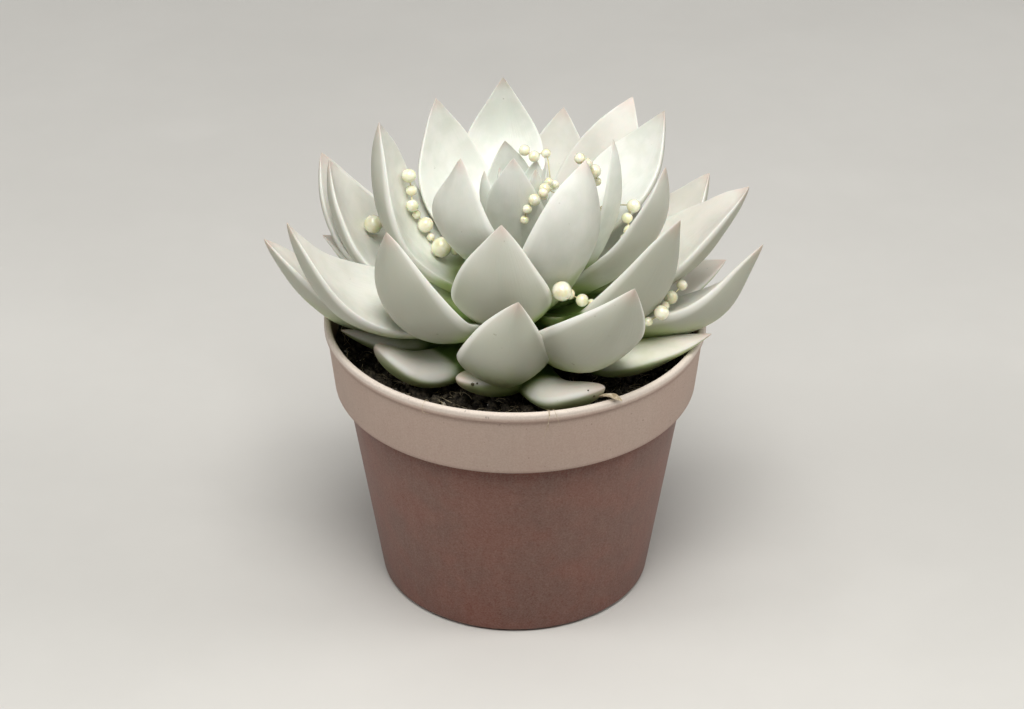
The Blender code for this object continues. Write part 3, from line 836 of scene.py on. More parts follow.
@dataclass
class Rosette:
    """The plant: leaf 0 is the oldest and lowest, the last one is the heart, and age runs from 0 to 1."""

    rim_height: float = 0.092
    leaf_count: int = 44
    first_turn: float = 32.5
    golden_angle: float = -137.508
    golden_share: float = 0.61803
    heart_lean: tuple[float, float] = (3.0 * MM, 2.0 * MM)
    wobble_seed: int = 12
    turn_wobble: float = 3.0
    roll_wobble: float = 5.0
    root_inset: float = 0.4
    stem_radius: float = 6.5 * MM
    stem_top_radius: float = 3.5 * MM
    stem_depth: float = 0.030
    stem_rise: float = 0.022
    ages: tuple = (0.0, 0.12, 0.30, 0.50, 0.70, 0.85, 1.0)
    tip_reaches: tuple = (48, 66, 73, 64, 33, 17, 5)
    tip_rises: tuple = (2, 7, 36, 45, 60, 62, 50)
    widths: tuple = (17, 24, 30, 31, 27, 17, 5)
    thicknesses: tuple = (6.5, 7.0, 8.0, 7.5, 6.0, 3.6, 1.6)
    root_slopes: tuple = (2, -4, -6, 2, 34, 62, 82)
    tip_slopes: tuple = (14, 34, 70, 82, 88, 92, 88)
    root_rises: tuple = (-6, -4, -2, 3, 10, 16, 21)
    troughs: tuple = (0.0, 0.06, 0.20, 0.22, 0.22, 0.24, 0.26)
    crowns: tuple = (3.2, 2.6, 1.2, 1.0, 0.9, 0.6, 0.3)
    seen_tips: dict[int, tuple[float, float, float]] = field(default_factory=lambda: {
        1: (246, 43, 0), 3: (341, 64, 5), 4: (192, 55, 1), 6: (300, 54, 2), 7: (150, 72, 8), 8: (14, 69, 9.5),
        9: (209, 49, 3), 11: (345, 78, 36), 12: (183, 77, 29), 13: (58, 70, 46), 14: (271, 52, 34),
        15: (148, 73, 37), 16: (357, 71, 48), 17: (200, 73, 46), 18: (76, 66, 41), 19: (300, 69, 43),
        20: (163, 60, 45), 21: (17, 64, 40), 22: (226, 55, 51), 23: (106, 58, 34), 24: (327, 59, 51),
        25: (172, 42, 65), 26: (33, 56, 56), 27: (264, 36, 52), 28: (128, 41, 59), 29: (343, 48, 60),
        30: (229, 25, 65), 31: (94, 48, 59), 32: (316, 29, 66), 33: (178, 18, 52), 34: (8, 30, 60),
        35: (268, 17, 64), 36: (102, 14, 54), 37: (340, 23, 58), 38: (200, 10, 53), 39: (62, 14, 48), 41: (130, 8, 49),
    })
    habits: dict[int, Habit] = field(default_factory=lambda: {
        0: Habit(crown=3.6, thickness=6.0),
        1: Habit(width=15, crown=3.0, thickness=7.5, sweep=14, blunt=True),
        3: Habit(width=19, crown=3.6, thickness=7.0, slopes=(0, 14), sweep=-13),
        4: Habit(width=11, crown=3.0, thickness=5.0),
        5: Habit(slopes=(6, 12)),
        6: Habit(width=15, crown=4.0, thickness=6.0, sweep=-14, blunt=True),
        7: Habit(slopes=(8, 12)),
        8: Habit(slopes=(4, 24)),
        9: Habit(width=18, crown=4.8, thickness=6.0, sweep=12, roll=0, blunt=True),
        11: Habit(root_rise=0, slopes=(4, 58), reaches=(0.64, 0.38), roll=-16),
        12: Habit(slopes=(0, 52)),
        13: Habit(width=34, root_rise=-4, slopes=(-10, 50), reaches=(0.62, 0.36), sweep=2, roll=14),
        14: Habit(width=28, slopes=(-6, 73), reaches=(0.69, 0.36), sweep=-5.5, roll=2),
        16: Habit(slopes=(18, 56), reaches=(0.50, 0.32), sweep=1, roll=8),
        17: Habit(root_rise=4, slopes=(5, 70), reaches=(0.50, 0.42), sweep=3, roll=-12),
        19: Habit(width=30, root_rise=-1, slopes=(6, 68), reaches=(0.55, 0.33), sweep=-4, roll=-22),
        21: Habit(slopes=(14, 62)),
        22: Habit(width=32, slopes=(6, 78), reaches=(0.66, 0.35), sweep=1, roll=2),
        24: Habit(width=29.5, root_rise=0.5, slopes=(6, 63), reaches=(0.57, 0.39), roll=-14),
        25: Habit(width=32),
        26: Habit(width=29, root_rise=5, slopes=(40, 70), reaches=(0.70, 0.36), sweep=1.5, roll=-2),
        27: Habit(width=30.5, thickness=5.5, root_rise=3, slopes=(15, 95), reaches=(0.64, 0.38), sweep=-1.5, roll=5),
        29: Habit(width=26, thickness=4.8, root_rise=4.5, slopes=(26, 83), reaches=(0.55, 0.32), sweep=1, roll=-14),
        30: Habit(width=26, root_rise=15, slopes=(41, 95), reaches=(0.74, 0.44), sweep=-0.5, roll=-1),
        31: Habit(width=26, root_rise=6.5, slopes=(30, 94), reaches=(0.72, 0.32), sweep=1.5, roll=-3),
        32: Habit(width=28, thickness=6.8, root_rise=3, slopes=(42, 100), reaches=(0.50, 0.36), sweep=-9, roll=-8),
        34: Habit(width=17, thickness=3.2, root_rise=7, slopes=(16, 95), reaches=(0.48, 0.29), sweep=-2.5, roll=-18),
    })
    stations: int = 60
    sides: int = 44
    waver: float = 0.35 * MM
    waver_length: float = 34.0 * MM
    stem_rings: int = 24
    stem_sides: int = 28
    bark_depth: float = 0.35 * MM
    canopy_cell: float = 1.6 * MM
    canopy_cells: int = 120
    canopy_rounds: int = 6
    sheltered_depths: tuple[float, float] = (18.0 * MM, 48.0 * MM)
    open_radii: tuple[float, float] = (30.0 * MM, 58.0 * MM)
    open_share: float = 0.85
    whorls: tuple = (("low_leaves", 0, 16), ("middle_leaves", 16, 32), ("heart_leaves", 32, 44))

    def leaf(self, number: int, wobble: random.Random) -> Leaf:
        """Works a leaf out from its number: its age sets its size, the golden angle its direction.

        Args:
            number: Which leaf, from the lowest.
            wobble: Draws the small differences between leaves.

        Returns:
            The leaf.
        """
        age = number / (self.leaf_count - 1)
        turn = self.first_turn + self.golden_angle * number + wobble.uniform(-self.turn_wobble, self.turn_wobble)
        roll = math.radians(wobble.uniform(-self.roll_wobble, self.roll_wobble))

        def by_age(values: tuple) -> float:
            """A value between the ones that are listed for the ages."""
            return float(np.interp(age, self.ages, values))

        reach, rise = by_age(self.tip_reaches), by_age(self.tip_rises)
        centre = np.array(self.heart_lean) * age
        middle = centre
        if number in self.seen_tips:
            turn, reach, rise = self.seen_tips[number]
            middle = np.zeros(2)
        outward = np.array((math.cos(math.radians(turn)), math.sin(math.radians(turn))))
        tip = middle + reach * MM * outward
        away = unit(tip - centre)
        stem = self.stem_radius + age * (self.stem_top_radius - self.stem_radius)
        root = centre + self.root_inset * stem * away
        habit = self.habits.get(number, Habit())
        width = habit.width or by_age(self.widths)
        thickness = habit.thickness or by_age(self.thicknesses)
        root_rise = by_age(self.root_rises) if habit.root_rise is None else habit.root_rise
        slopes = habit.slopes or (by_age(self.root_slopes), by_age(self.tip_slopes))
        return Leaf(
            number=number,
            age=age,
            root=np.array((*root, self.rim_height + root_rise * MM)),
            tip=np.array((*tip, self.rim_height + rise * MM)),
            away=np.array((*away, 0.0)),
            side=np.array((-away[1], away[0], 0.0)),
            half_width=width * MM / 2,
            thickness=thickness * MM,
            crown=(habit.crown or by_age(self.crowns)) * MM,
            trough=0.0 if habit.crown else by_age(self.troughs),
            slopes=(math.radians(slopes[0]), math.radians(slopes[1])),
            reaches=habit.reaches,
            roll=roll if habit.roll is None else math.radians(habit.roll),
            sweep=habit.sweep * MM,
            blunt=habit.blunt,
        )

    def leaf_skin(self, leaf: Leaf) -> Surface:
        """The whole skin of a leaf, with rings closer together towards the tip and edges.

        Args:
            leaf: The leaf.

        Returns:
            Its closed surface, with the values that the finish reads.
        """
        along = np.sin(0.5 * np.pi * np.linspace(0, 0.995, self.stations)) ** 1.15
        u, a = np.meshgrid(along, turns(self.sides), indexing="ij")
        rings = leaf.surface(u, a)
        swings = [rough(rings, self.waver_length, octaves=2, seed=40 + k) for k in range(3)]
        drift = self.waver * np.stack(swings, axis=-1)
        rings = rings + smooth(u, 0.15, 0.5)[..., None] * drift
        warmth = np.clip(0.95 - 1.25 * leaf.age + 0.35 * ((leaf.number * self.golden_share) % 1.0), 0, 1)
        values = {"along": u, "across": np.cos(a), "margin": np.abs(np.cos(a)), "outer": smooth(-np.sin(a), -0.1, 0.5),
                  "warmth": np.full_like(u, warmth), "number": np.full_like(u, leaf.number)}
        return ringed(rings, rings[0].mean(axis=0), leaf.tip + drift[-1].mean(axis=0), values)

    def stem_skin(self) -> Surface:
        """The short stem: a turned profile that leans with the heart, with a bark-like roughness.

        Returns:
            The closed surface.
        """
        z = np.linspace(-self.stem_depth, self.stem_rise, self.stem_rings)[:, None]
        turn = turns(self.stem_sides)
        share = np.clip(z / self.stem_rise, 0, 1)
        radius = self.stem_radius + share * (self.stem_top_radius - self.stem_radius)
        bark = rough(around(1.0, turn, z / MM / 4), 2.0, octaves=3, seed=9)
        radius = radius - self.bark_depth * (1 + bark) / 2
        rings = around(radius, turn, self.rim_height + z) + share[..., None] * np.array((*self.heart_lean, 0.0))
        values = dict.fromkeys(("along", "across", "margin", "outer", "warmth"), np.zeros(rings.shape[:2]))
        values["number"] = np.full(rings.shape[:2], -1.0)
        return ringed(rings, rings[0].mean(axis=0), rings[-1].mean(axis=0), values)

    def shelter(self, whole: Array, points: Array) -> Array:
        """How far the spray from above and around failed to reach, 0 to 1.

        The canopy is the highest point over each small square of the plan, widened and softened, and read
        between the squares in proportion. A point is sheltered by its depth under it, less so towards the
        outside, where the spray came in sideways.

        Args:
            whole: All points of the plant.
            points: The points that are asked about.

        Returns:
            A share for each point.
        """
        cell, cells = self.canopy_cell, self.canopy_cells
        canopy = np.full((cells, cells), self.rim_height)
        spots = np.clip((whole[:, :2] / cell + cells / 2).astype(int), 0, cells - 1)
        np.maximum.at(canopy, (spots[:, 0], spots[:, 1]), whole[:, 2])
        shifts = ((0, 0), (1, 0), (-1, 0), (0, 1), (0, -1))
        for step in range(1 + self.canopy_rounds):
            spread = np.max if step == 0 else np.mean
            canopy = spread([np.roll(canopy, shift, (0, 1)) for shift in shifts], axis=0)
        at = np.clip(points[:, :2] / cell + cells / 2 - 0.5, 0, cells - 1.001)
        low = at.astype(int)
        part = (at - low).T
        level = sum(
            canopy[low[:, 0] + i, low[:, 1] + j] * np.abs(1 - i - part[0]) * np.abs(1 - j - part[1])
            for i in (0, 1) for j in (0, 1)
        )
        outside = smooth(np.hypot(points[:, 0], points[:, 1]), *self.open_radii)
        return smooth(level - points[:, 2], *self.sheltered_depths) * (1 - self.open_share * outside)

    def build(self, finish: bpy.types.Material) -> Surface:
        """Makes the leaves in three whorls, with the stem in the lowest one.

        Args:
            finish: The leaves' material.

        Returns:
            The whole plant's skin.
        """
        wobble = random.Random(self.wobble_seed)
        skins = [self.leaf_skin(self.leaf(number, wobble)) for number in range(self.leaf_count)]
        stem = self.stem_skin()
        whole = Surface.joined([*skins, stem])
        for name, start, end in self.whorls:
            whorl = Surface.joined(skins[start:end] + ([stem] if start == 0 else []))
            whorl.values["shelter"] = self.shelter(whole.points, whorl.points)
            dressed(whorl.piece(name, finish), Slot.LEAF, "rosette")
        return whole


@dataclass
class NurseryPot:
    """The pot as a turned shell: rolled lip, straight collar, small ledge and tapered body on a recessed base."""

    height: float = 0.092
    lip_radius: float = 0.060
    lip_height: float = 3.0 * MM
    lip_proud: float = 0.8 * MM
    collar_height: float = 23.1 * MM
    collar_bottom_radius: float = 0.0570
    body_top_radius: float = 0.0535
    base_radius: float = 0.0430
    base_chamfer: float = 1.2 * MM
    wall: float = 1.3 * MM
    floor: float = 3.4 * MM
    foot_recess: float = 1.2 * MM
    foot_ring: float = 5.0 * MM
    boss_radius: float = 14.0 * MM
    ledge_round: float = 0.8 * MM
    flare: float = 2.0 * MM
    steps: int = 240
    hole_count: int = 8
    hole_radius: float = 3.5 * MM
    hole_ring: float = 26.0 * MM
    hole_sides: int = 32
    waver: float = 0.1 * MM
    sharp_angle: float = 40.0

    def inner_radius(self, height: float) -> float:
        """The wall's inner radius: on the body's taper, or above the ledge on the collar's.

        Args:
            height: The height over the floor that the pot stands on.

        Returns:
            The radius.
        """
        ledge = self.height - self.collar_height
        if height <= ledge:
            return self.base_radius + height / ledge * (self.body_top_radius - self.base_radius) - self.wall
        share = (height - ledge) / self.collar_height
        top = self.lip_radius - self.lip_proud
        return self.collar_bottom_radius + share * (top - self.collar_bottom_radius) - self.wall

    @staticmethod
    def rounded(corners: list[tuple[float, float, float]], points: int = 6) -> Array:
        """Rounds the corners of a profile, each with an arc-like curve between its two sides.

        A corner's curve is a parabola that leaves each side at the corner's rounding distance.

        Args:
            corners: Radius, height and rounding distance of each corner.
            points: Points on each rounding.

        Returns:
            The profile's points.
        """
        places = np.array([corner[:2] for corner in corners])
        made = [places[:1]]
        u = np.linspace(0, 1, points)[:, None]
        for before, here, after, corner in zip(places, places[1:], places[2:], corners[1:]):
            back, ahead = before - here, after - here
            cut = min(corner[2], 0.45 * np.linalg.norm(back), 0.45 * np.linalg.norm(ahead))
            start, end = here + cut * unit(back), here + cut * unit(ahead)
            made.append((1 - u) ** 2 * start + 2 * u * (1 - u) * here + u**2 * end)
        return np.vstack((*made, places[-1:]))

    def profile(self) -> Array:
        """The shell's section as (radius, height), from the underside's centre out, over the lip and in to the floor.

        Returns:
            The points.
        """
        ledge, soft = self.height - self.collar_height, 0.5 * MM
        lip_low = self.height - self.lip_height
        foot = self.base_radius - self.foot_ring
        inner_top = self.inner_radius(self.height)
        return self.rounded([
            (0.0, 0.0, 0.0),
            (self.boss_radius, 0.0, soft),
            (self.boss_radius + self.foot_recess, self.foot_recess, soft),
            (foot - self.foot_recess, self.foot_recess, soft),
            (foot, 0.0, soft),
            (self.base_radius - self.base_chamfer, 0.0, soft),
            (self.base_radius, self.base_chamfer, soft),
            (self.body_top_radius, ledge - self.ledge_round, soft),
            (self.body_top_radius + self.ledge_round, ledge, soft),
            (self.collar_bottom_radius, ledge, 1.2 * self.ledge_round),
            (self.lip_radius - self.lip_proud, lip_low - 0.3 * MM, soft),
            (self.lip_radius, lip_low + 0.3 * MM, 0.8 * MM),
            (self.lip_radius, self.height, 1.4 * MM),
            (inner_top, self.height, 1.0 * MM),
            (self.inner_radius(ledge + self.flare), ledge + self.flare, soft),
            (self.inner_radius(ledge - self.flare), ledge - self.flare, soft),
            (self.inner_radius(self.floor), self.floor, 1.5 * MM),
            (0.0, self.floor, 0.0),
        ])

    def build(self, finish: bpy.types.Material) -> None:
        """Turns the profile, cuts the drainage holes, and dresses the pot.

        The radius wavers a little round the pot, more towards the lip, as thin moulded plastic does.

        Args:
            finish: The pot's material.
        """
        profile, turn = self.profile(), turns(self.steps)
        radius, height = profile[1:-1].T[..., None]
        radius = radius + self.waver * (height / self.height) ** 2 * np.sin(2 * turn + 0.7)
        pot = ringed(around(radius, turn, height), 0 * UP, self.floor * UP).piece("pot_shell", finish)
        drills = bpy.data.collections.new("drills")
        bpy.context.scene.collection.children.link(drills)
        for k, angle in enumerate(turns(self.hole_count) + math.pi / self.hole_count):
            path = around(self.hole_ring, angle, np.array((-2 * MM, 2 * self.floor)))
            drill = tube(path, np.full(2, self.hole_radius), self.hole_sides).piece(f"drill_{k + 1}")
            bpy.context.scene.collection.objects.unlink(drill)
            drills.objects.link(drill)
        cut = pot.modifiers.new("Drainage", "BOOLEAN")
        cut.operation, cut.operand_type, cut.collection = "DIFFERENCE", "COLLECTION", drills
        view = bpy.context.evaluated_depsgraph_get()
        mesh = bpy.data.meshes.new_from_object(pot.evaluated_get(view))
        pot.modifiers.clear()
        pot.data = mesh
        mesh.set_sharp_from_angle(angle=math.radians(self.sharp_angle))
        for drill in list(drills.objects):
            bpy.data.objects.remove(drill)
        bpy.data.collections.remove(drills)
        dressed(pot, Slot.POT, "pot")


@dataclass
class GrowingMix:
    """The soil: a dished rough surface in the pot, with crumbs, fibres and pale grains on it."""

    pot: NurseryPot
    drop: float = 9.2 * MM
    dish: float = 4.1 * MM
    dish_radius: float = 44.0 * MM
    relief: float = 0.3 * MM
    roughness: float = 0.55 * MM
    grit: float = 0.25 * MM
    hole_radius: float = 6.9 * MM
    hole_depth: float = 30.3 * MM
    gap: float = 0.3 * MM
    steps: int = 300
    rings: int = 84
    wall_room: float = 1.5 * MM
    rise: float = 0.25
    crumb_count: int = 2600
    crumb_radii: tuple[float, float] = (0.35 * MM, 2.6 * MM)
    crumb_inside: float = 9.0 * MM
    grain_count: int = 90
    grain_radii: tuple[float, float] = (0.4 * MM, 1.3 * MM)
    grain_inside: float = 24.0 * MM
    fibre_room: float = 1.8 * MM
    fibre_count: int = 420
    fibre_lengths: tuple[float, float] = (5.0 * MM, 17.0 * MM)
    fibre_radii: tuple[float, float] = (0.07 * MM, 0.17 * MM)
    fibre_arches: tuple[float, float] = (0.1 * MM, 1.5 * MM)
    fibre_lift: float = 0.15 * MM
    fibre_wander: float = 0.24
    fibre_inside: float = 20.0 * MM
    seed: int = 5

    @property
    def edge(self) -> float:
        """The pot's inner radius at the soil's level by the wall."""
        return self.pot.inner_radius(self.pot.height - self.drop)

    def laid(self, x: Array, y: Array, lift: Array | float = 0.0) -> Array:
        """Points on the soil or a little over it: its level is the dish, soft lumps and finer roughness.

        Args:
            x, y: Places on the plan.
            lift: How far over the soil they are.

        Returns:
            The points.
        """
        share = np.clip((np.hypot(x, y) - self.dish_radius) / (self.edge - self.dish_radius), 0, 1)
        lumps = np.sin(210 * x + 1.1) * np.cos(170 * y - 0.4) + 0.6 * np.sin(390 * x - 260 * y)
        place = np.stack((x, y, np.zeros_like(x)), axis=-1)
        fine = self.roughness * rough(place, 9 * MM, octaves=4, seed=21)
        fine = fine + self.grit * np.abs(rough(place, 3 * MM, octaves=2, seed=22))
        level = self.pot.height - self.drop - self.dish * (1 - share) + self.relief * lumps + fine
        return np.stack((x, y, level + lift), axis=-1)

    def body(self) -> Surface:
        """The closed body: up the wall from the floor, over the rough top to the plain stem hole, and down it.

        Returns:
            The surface.
        """
        turn, gap, flare = turns(self.steps), self.gap, self.pot.flare
        ledge, floor = self.pot.height - self.pot.collar_height, self.pot.floor + gap
        hole_floor = self.pot.height - self.hole_depth
        heights = (floor, ledge - flare, ledge + flare)
        rings = [around(self.pot.inner_radius(height) - gap, turn, height) for height in heights]
        for radius in np.linspace(self.edge - 2 * gap, self.hole_radius, self.rings):
            rings.append(self.laid(radius * np.cos(turn), radius * np.sin(turn)))
        rings.append(around(self.hole_radius, turn, hole_floor))
        return ringed(np.array(rings), floor * UP, hole_floor * UP)

    @staticmethod
    def pebble() -> tuple[Array, Array]:
        """A small ball of twenty faces for repeated grains.

        Returns:
            Its points at radius one, and its triangles.
        """
        work = bmesh.new()
        bmesh.ops.create_icosphere(work, subdivisions=1, radius=1.0)
        points = np.array([vert.co[:] for vert in work.verts])
        faces = np.array([[vert.index for vert in face.verts] for face in work.faces])
        work.free()
        return points, faces

    def strewn(self, count: int, radii: tuple[float, float], inside: float, seed: int) -> Surface:
        """Grains on the soil: a knobbly ball, stretched and turned at random, partly sunk in at random places.

        Args:
            count: How many.
            radii: The least and the largest radius.
            inside: The least distance from the axis.
            seed: Chooses places and shapes.

        Returns:
            All grains as one surface.
        """
        rng = np.random.default_rng(seed)
        points, faces = self.pebble()
        sizes = radii[0] + (radii[1] - radii[0]) * rng.uniform(size=count) ** 3
        radius = np.sqrt(rng.uniform(inside**2, (self.edge - self.wall_room - sizes) ** 2, count))
        turn = rng.uniform(0, 2 * np.pi, count)
        middles = self.laid(radius * np.cos(turn), radius * np.sin(turn), self.rise * sizes)
        shapes = points[None] * rng.uniform(0.6, 1.25, (count, 1, 3)) * rng.uniform(0.75, 1.2, (count, len(points), 1))
        axes = np.linalg.qr(rng.normal(size=(count, 3, 3)))[0]
        axes *= np.sign(np.linalg.det(axes))[:, None, None]
        places = middles[:, None] + sizes[:, None, None] * (shapes @ axes)
        triangles = (faces[None] + len(points) * np.arange(count)[:, None, None]).reshape(-1, 3)
        return Surface(places.reshape(-1, 3), triangles=triangles)

    def fibres(self, count: int, seed: int) -> Surface:
        """Loose fibres: thin tubes that wander over the soil and lift a little in places.

        Each one turns at a slowly changing rate, and its height over the soil is a low arch.

        Args:
            count: How many.
            seed: Chooses their ways.

        Returns:
            All fibres as one surface.
        """
        rng = np.random.default_rng(seed)
        edge, made = self.edge - self.fibre_room, []
        for _ in range(count):
            steps = int(rng.integers(8, 16))
            stride = rng.uniform(*self.fibre_lengths) / steps
            heading = rng.uniform(0, 2 * np.pi) + np.cumsum(rng.normal(0, self.fibre_wander, steps))
            radius, turn = math.sqrt(rng.uniform(self.fibre_inside**2, edge**2)), rng.uniform(0, 2 * np.pi)
            x = radius * math.cos(turn) + np.cumsum(stride * np.cos(heading))
            y = radius * math.sin(turn) + np.cumsum(stride * np.sin(heading))
            pull = np.minimum(1.0, edge / np.maximum(np.hypot(x, y), 1e-6))
            arch = rng.uniform(*self.fibre_arches) * np.sin(np.linspace(0.2, np.pi - 0.2, steps))
            widths = rng.uniform(*self.fibre_radii) * (1 - 0.6 * np.linspace(0, 1, steps) ** 2)
            made.append(tube(self.laid(x * pull, y * pull, self.fibre_lift + arch), widths, 4))
        return Surface.joined(made)

    def build(self) -> None:
        """Makes the soil's surface, crumbs, pale grains and fibres."""
        crumbs = self.strewn(self.crumb_count, self.crumb_radii, self.crumb_inside, self.seed)
        grains = self.strewn(self.grain_count, self.grain_radii, self.grain_inside, self.seed + 1)
        fibres = self.fibres(self.fibre_count, self.seed + 2)
        earth = EarthyFinish("growing_mix", ink(36, 34, 30), ink(84, 78, 66), scale=420.0, strength=1.0)
        bark = EarthyFinish("bark_crumbs", ink(33, 31, 28), ink(94, 86, 72), scale=900.0, strength=0.8)
        pale = EarthyFinish("pale_grains", ink(150, 146, 138), ink(214, 210, 200), scale=1200.0, strength=0.5)
        straw = EarthyFinish("fibres", ink(134, 120, 94), ink(196, 184, 156), scale=900.0, strength=0.3)
        dressed(self.body().piece("soil_surface", earth.material()), Slot.SOIL, "soil")
        dressed(crumbs.piece("soil_crumbs", bark.material()), Slot.SOIL)
        dressed(grains.piece("pale_grains", pale.material()), Slot.SOIL)
        dressed(fibres.piece("soil_fibres", straw.material()), Slot.SOIL)


@dataclass
class Litter:
    """Small dry bits: a curled scrap and threads on the pot's lip, and specks on two low leaves."""

    pot: NurseryPot
    leaves: BVHTree
    scrap_ends: tuple = ((25.0, -50.6, 0.9), (32.4, -52.0, 0.1))
    scrap_rings: int = 30
    scrap_sides: int = 16
    scrap_width: float = 2.6 * MM
    scrap_thickness: float = 0.13 * MM
    scrap_arch: float = 0.7 * MM
    scrap_curl: float = 0.45
    threads: tuple = ((-81.5, 2.2, 6.5), (-80.0, -1.4, 8.5), (-78.6, 1.2, 5.0), (-118.0, 2.0, 3.5))
    thread_over_lip: tuple = ((-6.2, -7.8), (-3.6, -3.0), (-2.6, -0.4), (-1.2, 0.3), (0.3, -0.9), (0.5, -2.6))
    thread_radius: float = 0.08 * MM
    specks: tuple = ((-13, -43, 0, 0.65), (-11.5, -42.6, 0.4, 0.35), (24, -50, 0, 0.45), (22, -49, 2, 0.3))

    def scrap(self) -> Surface:
        """The curled scrap: a thin blade across the lip, pointed at both ends.

        Its half width follows the sine of the way along. Its edges rise with the square of their distance
        from the middle, and the whole blade twists as it goes.

        Returns:
            The closed surface.
        """
        start, end = (np.array(each) * MM + self.pot.height * UP for each in self.scrap_ends)
        u, turn = np.linspace(0.02, 0.98, self.scrap_rings)[:, None], turns(self.scrap_sides)
        path = start + u * (end - start) + self.scrap_arch * np.sin(np.pi * u) * UP
        half = 0.5 * self.scrap_width * np.sin(np.pi * u) ** 0.7 * (1 + 0.12 * np.sin(11 * u))
        out = half * np.cos(turn)
        up = self.scrap_thickness * np.sin(turn) + self.scrap_curl * half * np.cos(turn) ** 2
        twist = 0.5 - 0.9 * u
        wide = (out * np.cos(twist) - up * np.sin(twist))[..., None] * unit(np.cross(end - start, UP))
        high = (out * np.sin(twist) + up * np.cos(twist))[..., None] * UP
        return ringed(path[:, None] + wide + high, path[0], path[-1])

    def thread(self, turn: float, drift: float, hang: float) -> Surface:
        """A thread out of the soil, over the lip and down the collar, a hair's breadth off the plastic.

        Args:
            turn: Its direction from the axis, in degrees.
            drift: How far it wanders round the pot, in degrees.
            hang: How far it hangs below the rim, in mm.

        Returns:
            The closed surface.
        """
        proud = self.pot.lip_proud / MM
        knots = (*self.thread_over_lip, (0.7 - proud, -0.5 * (3 + hang)), (0.3 - proud, -hang))
        share = np.linspace(0, 1, len(knots))
        angle = np.radians(turn + drift * (share + 0.4 * np.sin(5 * share + turn)))
        out, height = np.array(knots).T * MM
        line = curve_through(around(self.pot.lip_radius + out, angle, self.pot.height + height), 5)
        return tube(line, self.thread_radius * (1 - 0.5 * np.linspace(0, 1, len(line)) ** 3), 5)

    def speck(self, place: tuple[float, float, float], radius: float) -> Surface:
        """A flattened crumb on the leaf next to a place.

        Args:
            place: The place, in mm from the middle of the rim.
            radius: Its radius in mm.

        Returns:
            The closed surface.
        """
        points, faces = GrowingMix.pebble()
        spot, normal, _, _ = self.leaves.find_nearest(Vector(np.array(place) * MM + self.pot.height * UP))
        way = np.array(normal)
        flat = points - 0.5 * (points @ way)[:, None] * way
        return Surface(np.array(spot) + radius * MM * (flat + 0.2 * way), triangles=faces)

    def build(self) -> None:
        """Makes the scrap, the threads and the specks."""
        dry = EarthyFinish("dry_bits", ink(168, 150, 122), ink(222, 208, 184), scale=700.0, strength=0.3).material()
        dark = EarthyFinish("specks", ink(84, 80, 58), ink(122, 116, 88), scale=1500.0, strength=0.5).material()
        specks = Surface.joined([self.speck(each[:3], each[3]) for each in self.specks])
        threads = Surface.joined([self.thread(*each) for each in self.threads])
        dressed(self.scrap().piece("dry_scrap", dry), Slot.SOIL)
        dressed(threads.piece("lip_threads", dry), Slot.SOIL)
        dressed(specks.piece("leaf_specks", dark), Slot.SOIL)


@dataclass(frozen=True)
class Run:
    """Part of a length of garland: listed points in mm from the pot's rim, and its pearls in order.

    Sizes are diameters in mm, and 0 is a bare stretch of cord. A run without sizes is filled with the usual
    mix. A run after the first begins at the last pearl of the one before it, which isn't listed again.
    """

    points: tuple
    sizes: tuple = ()


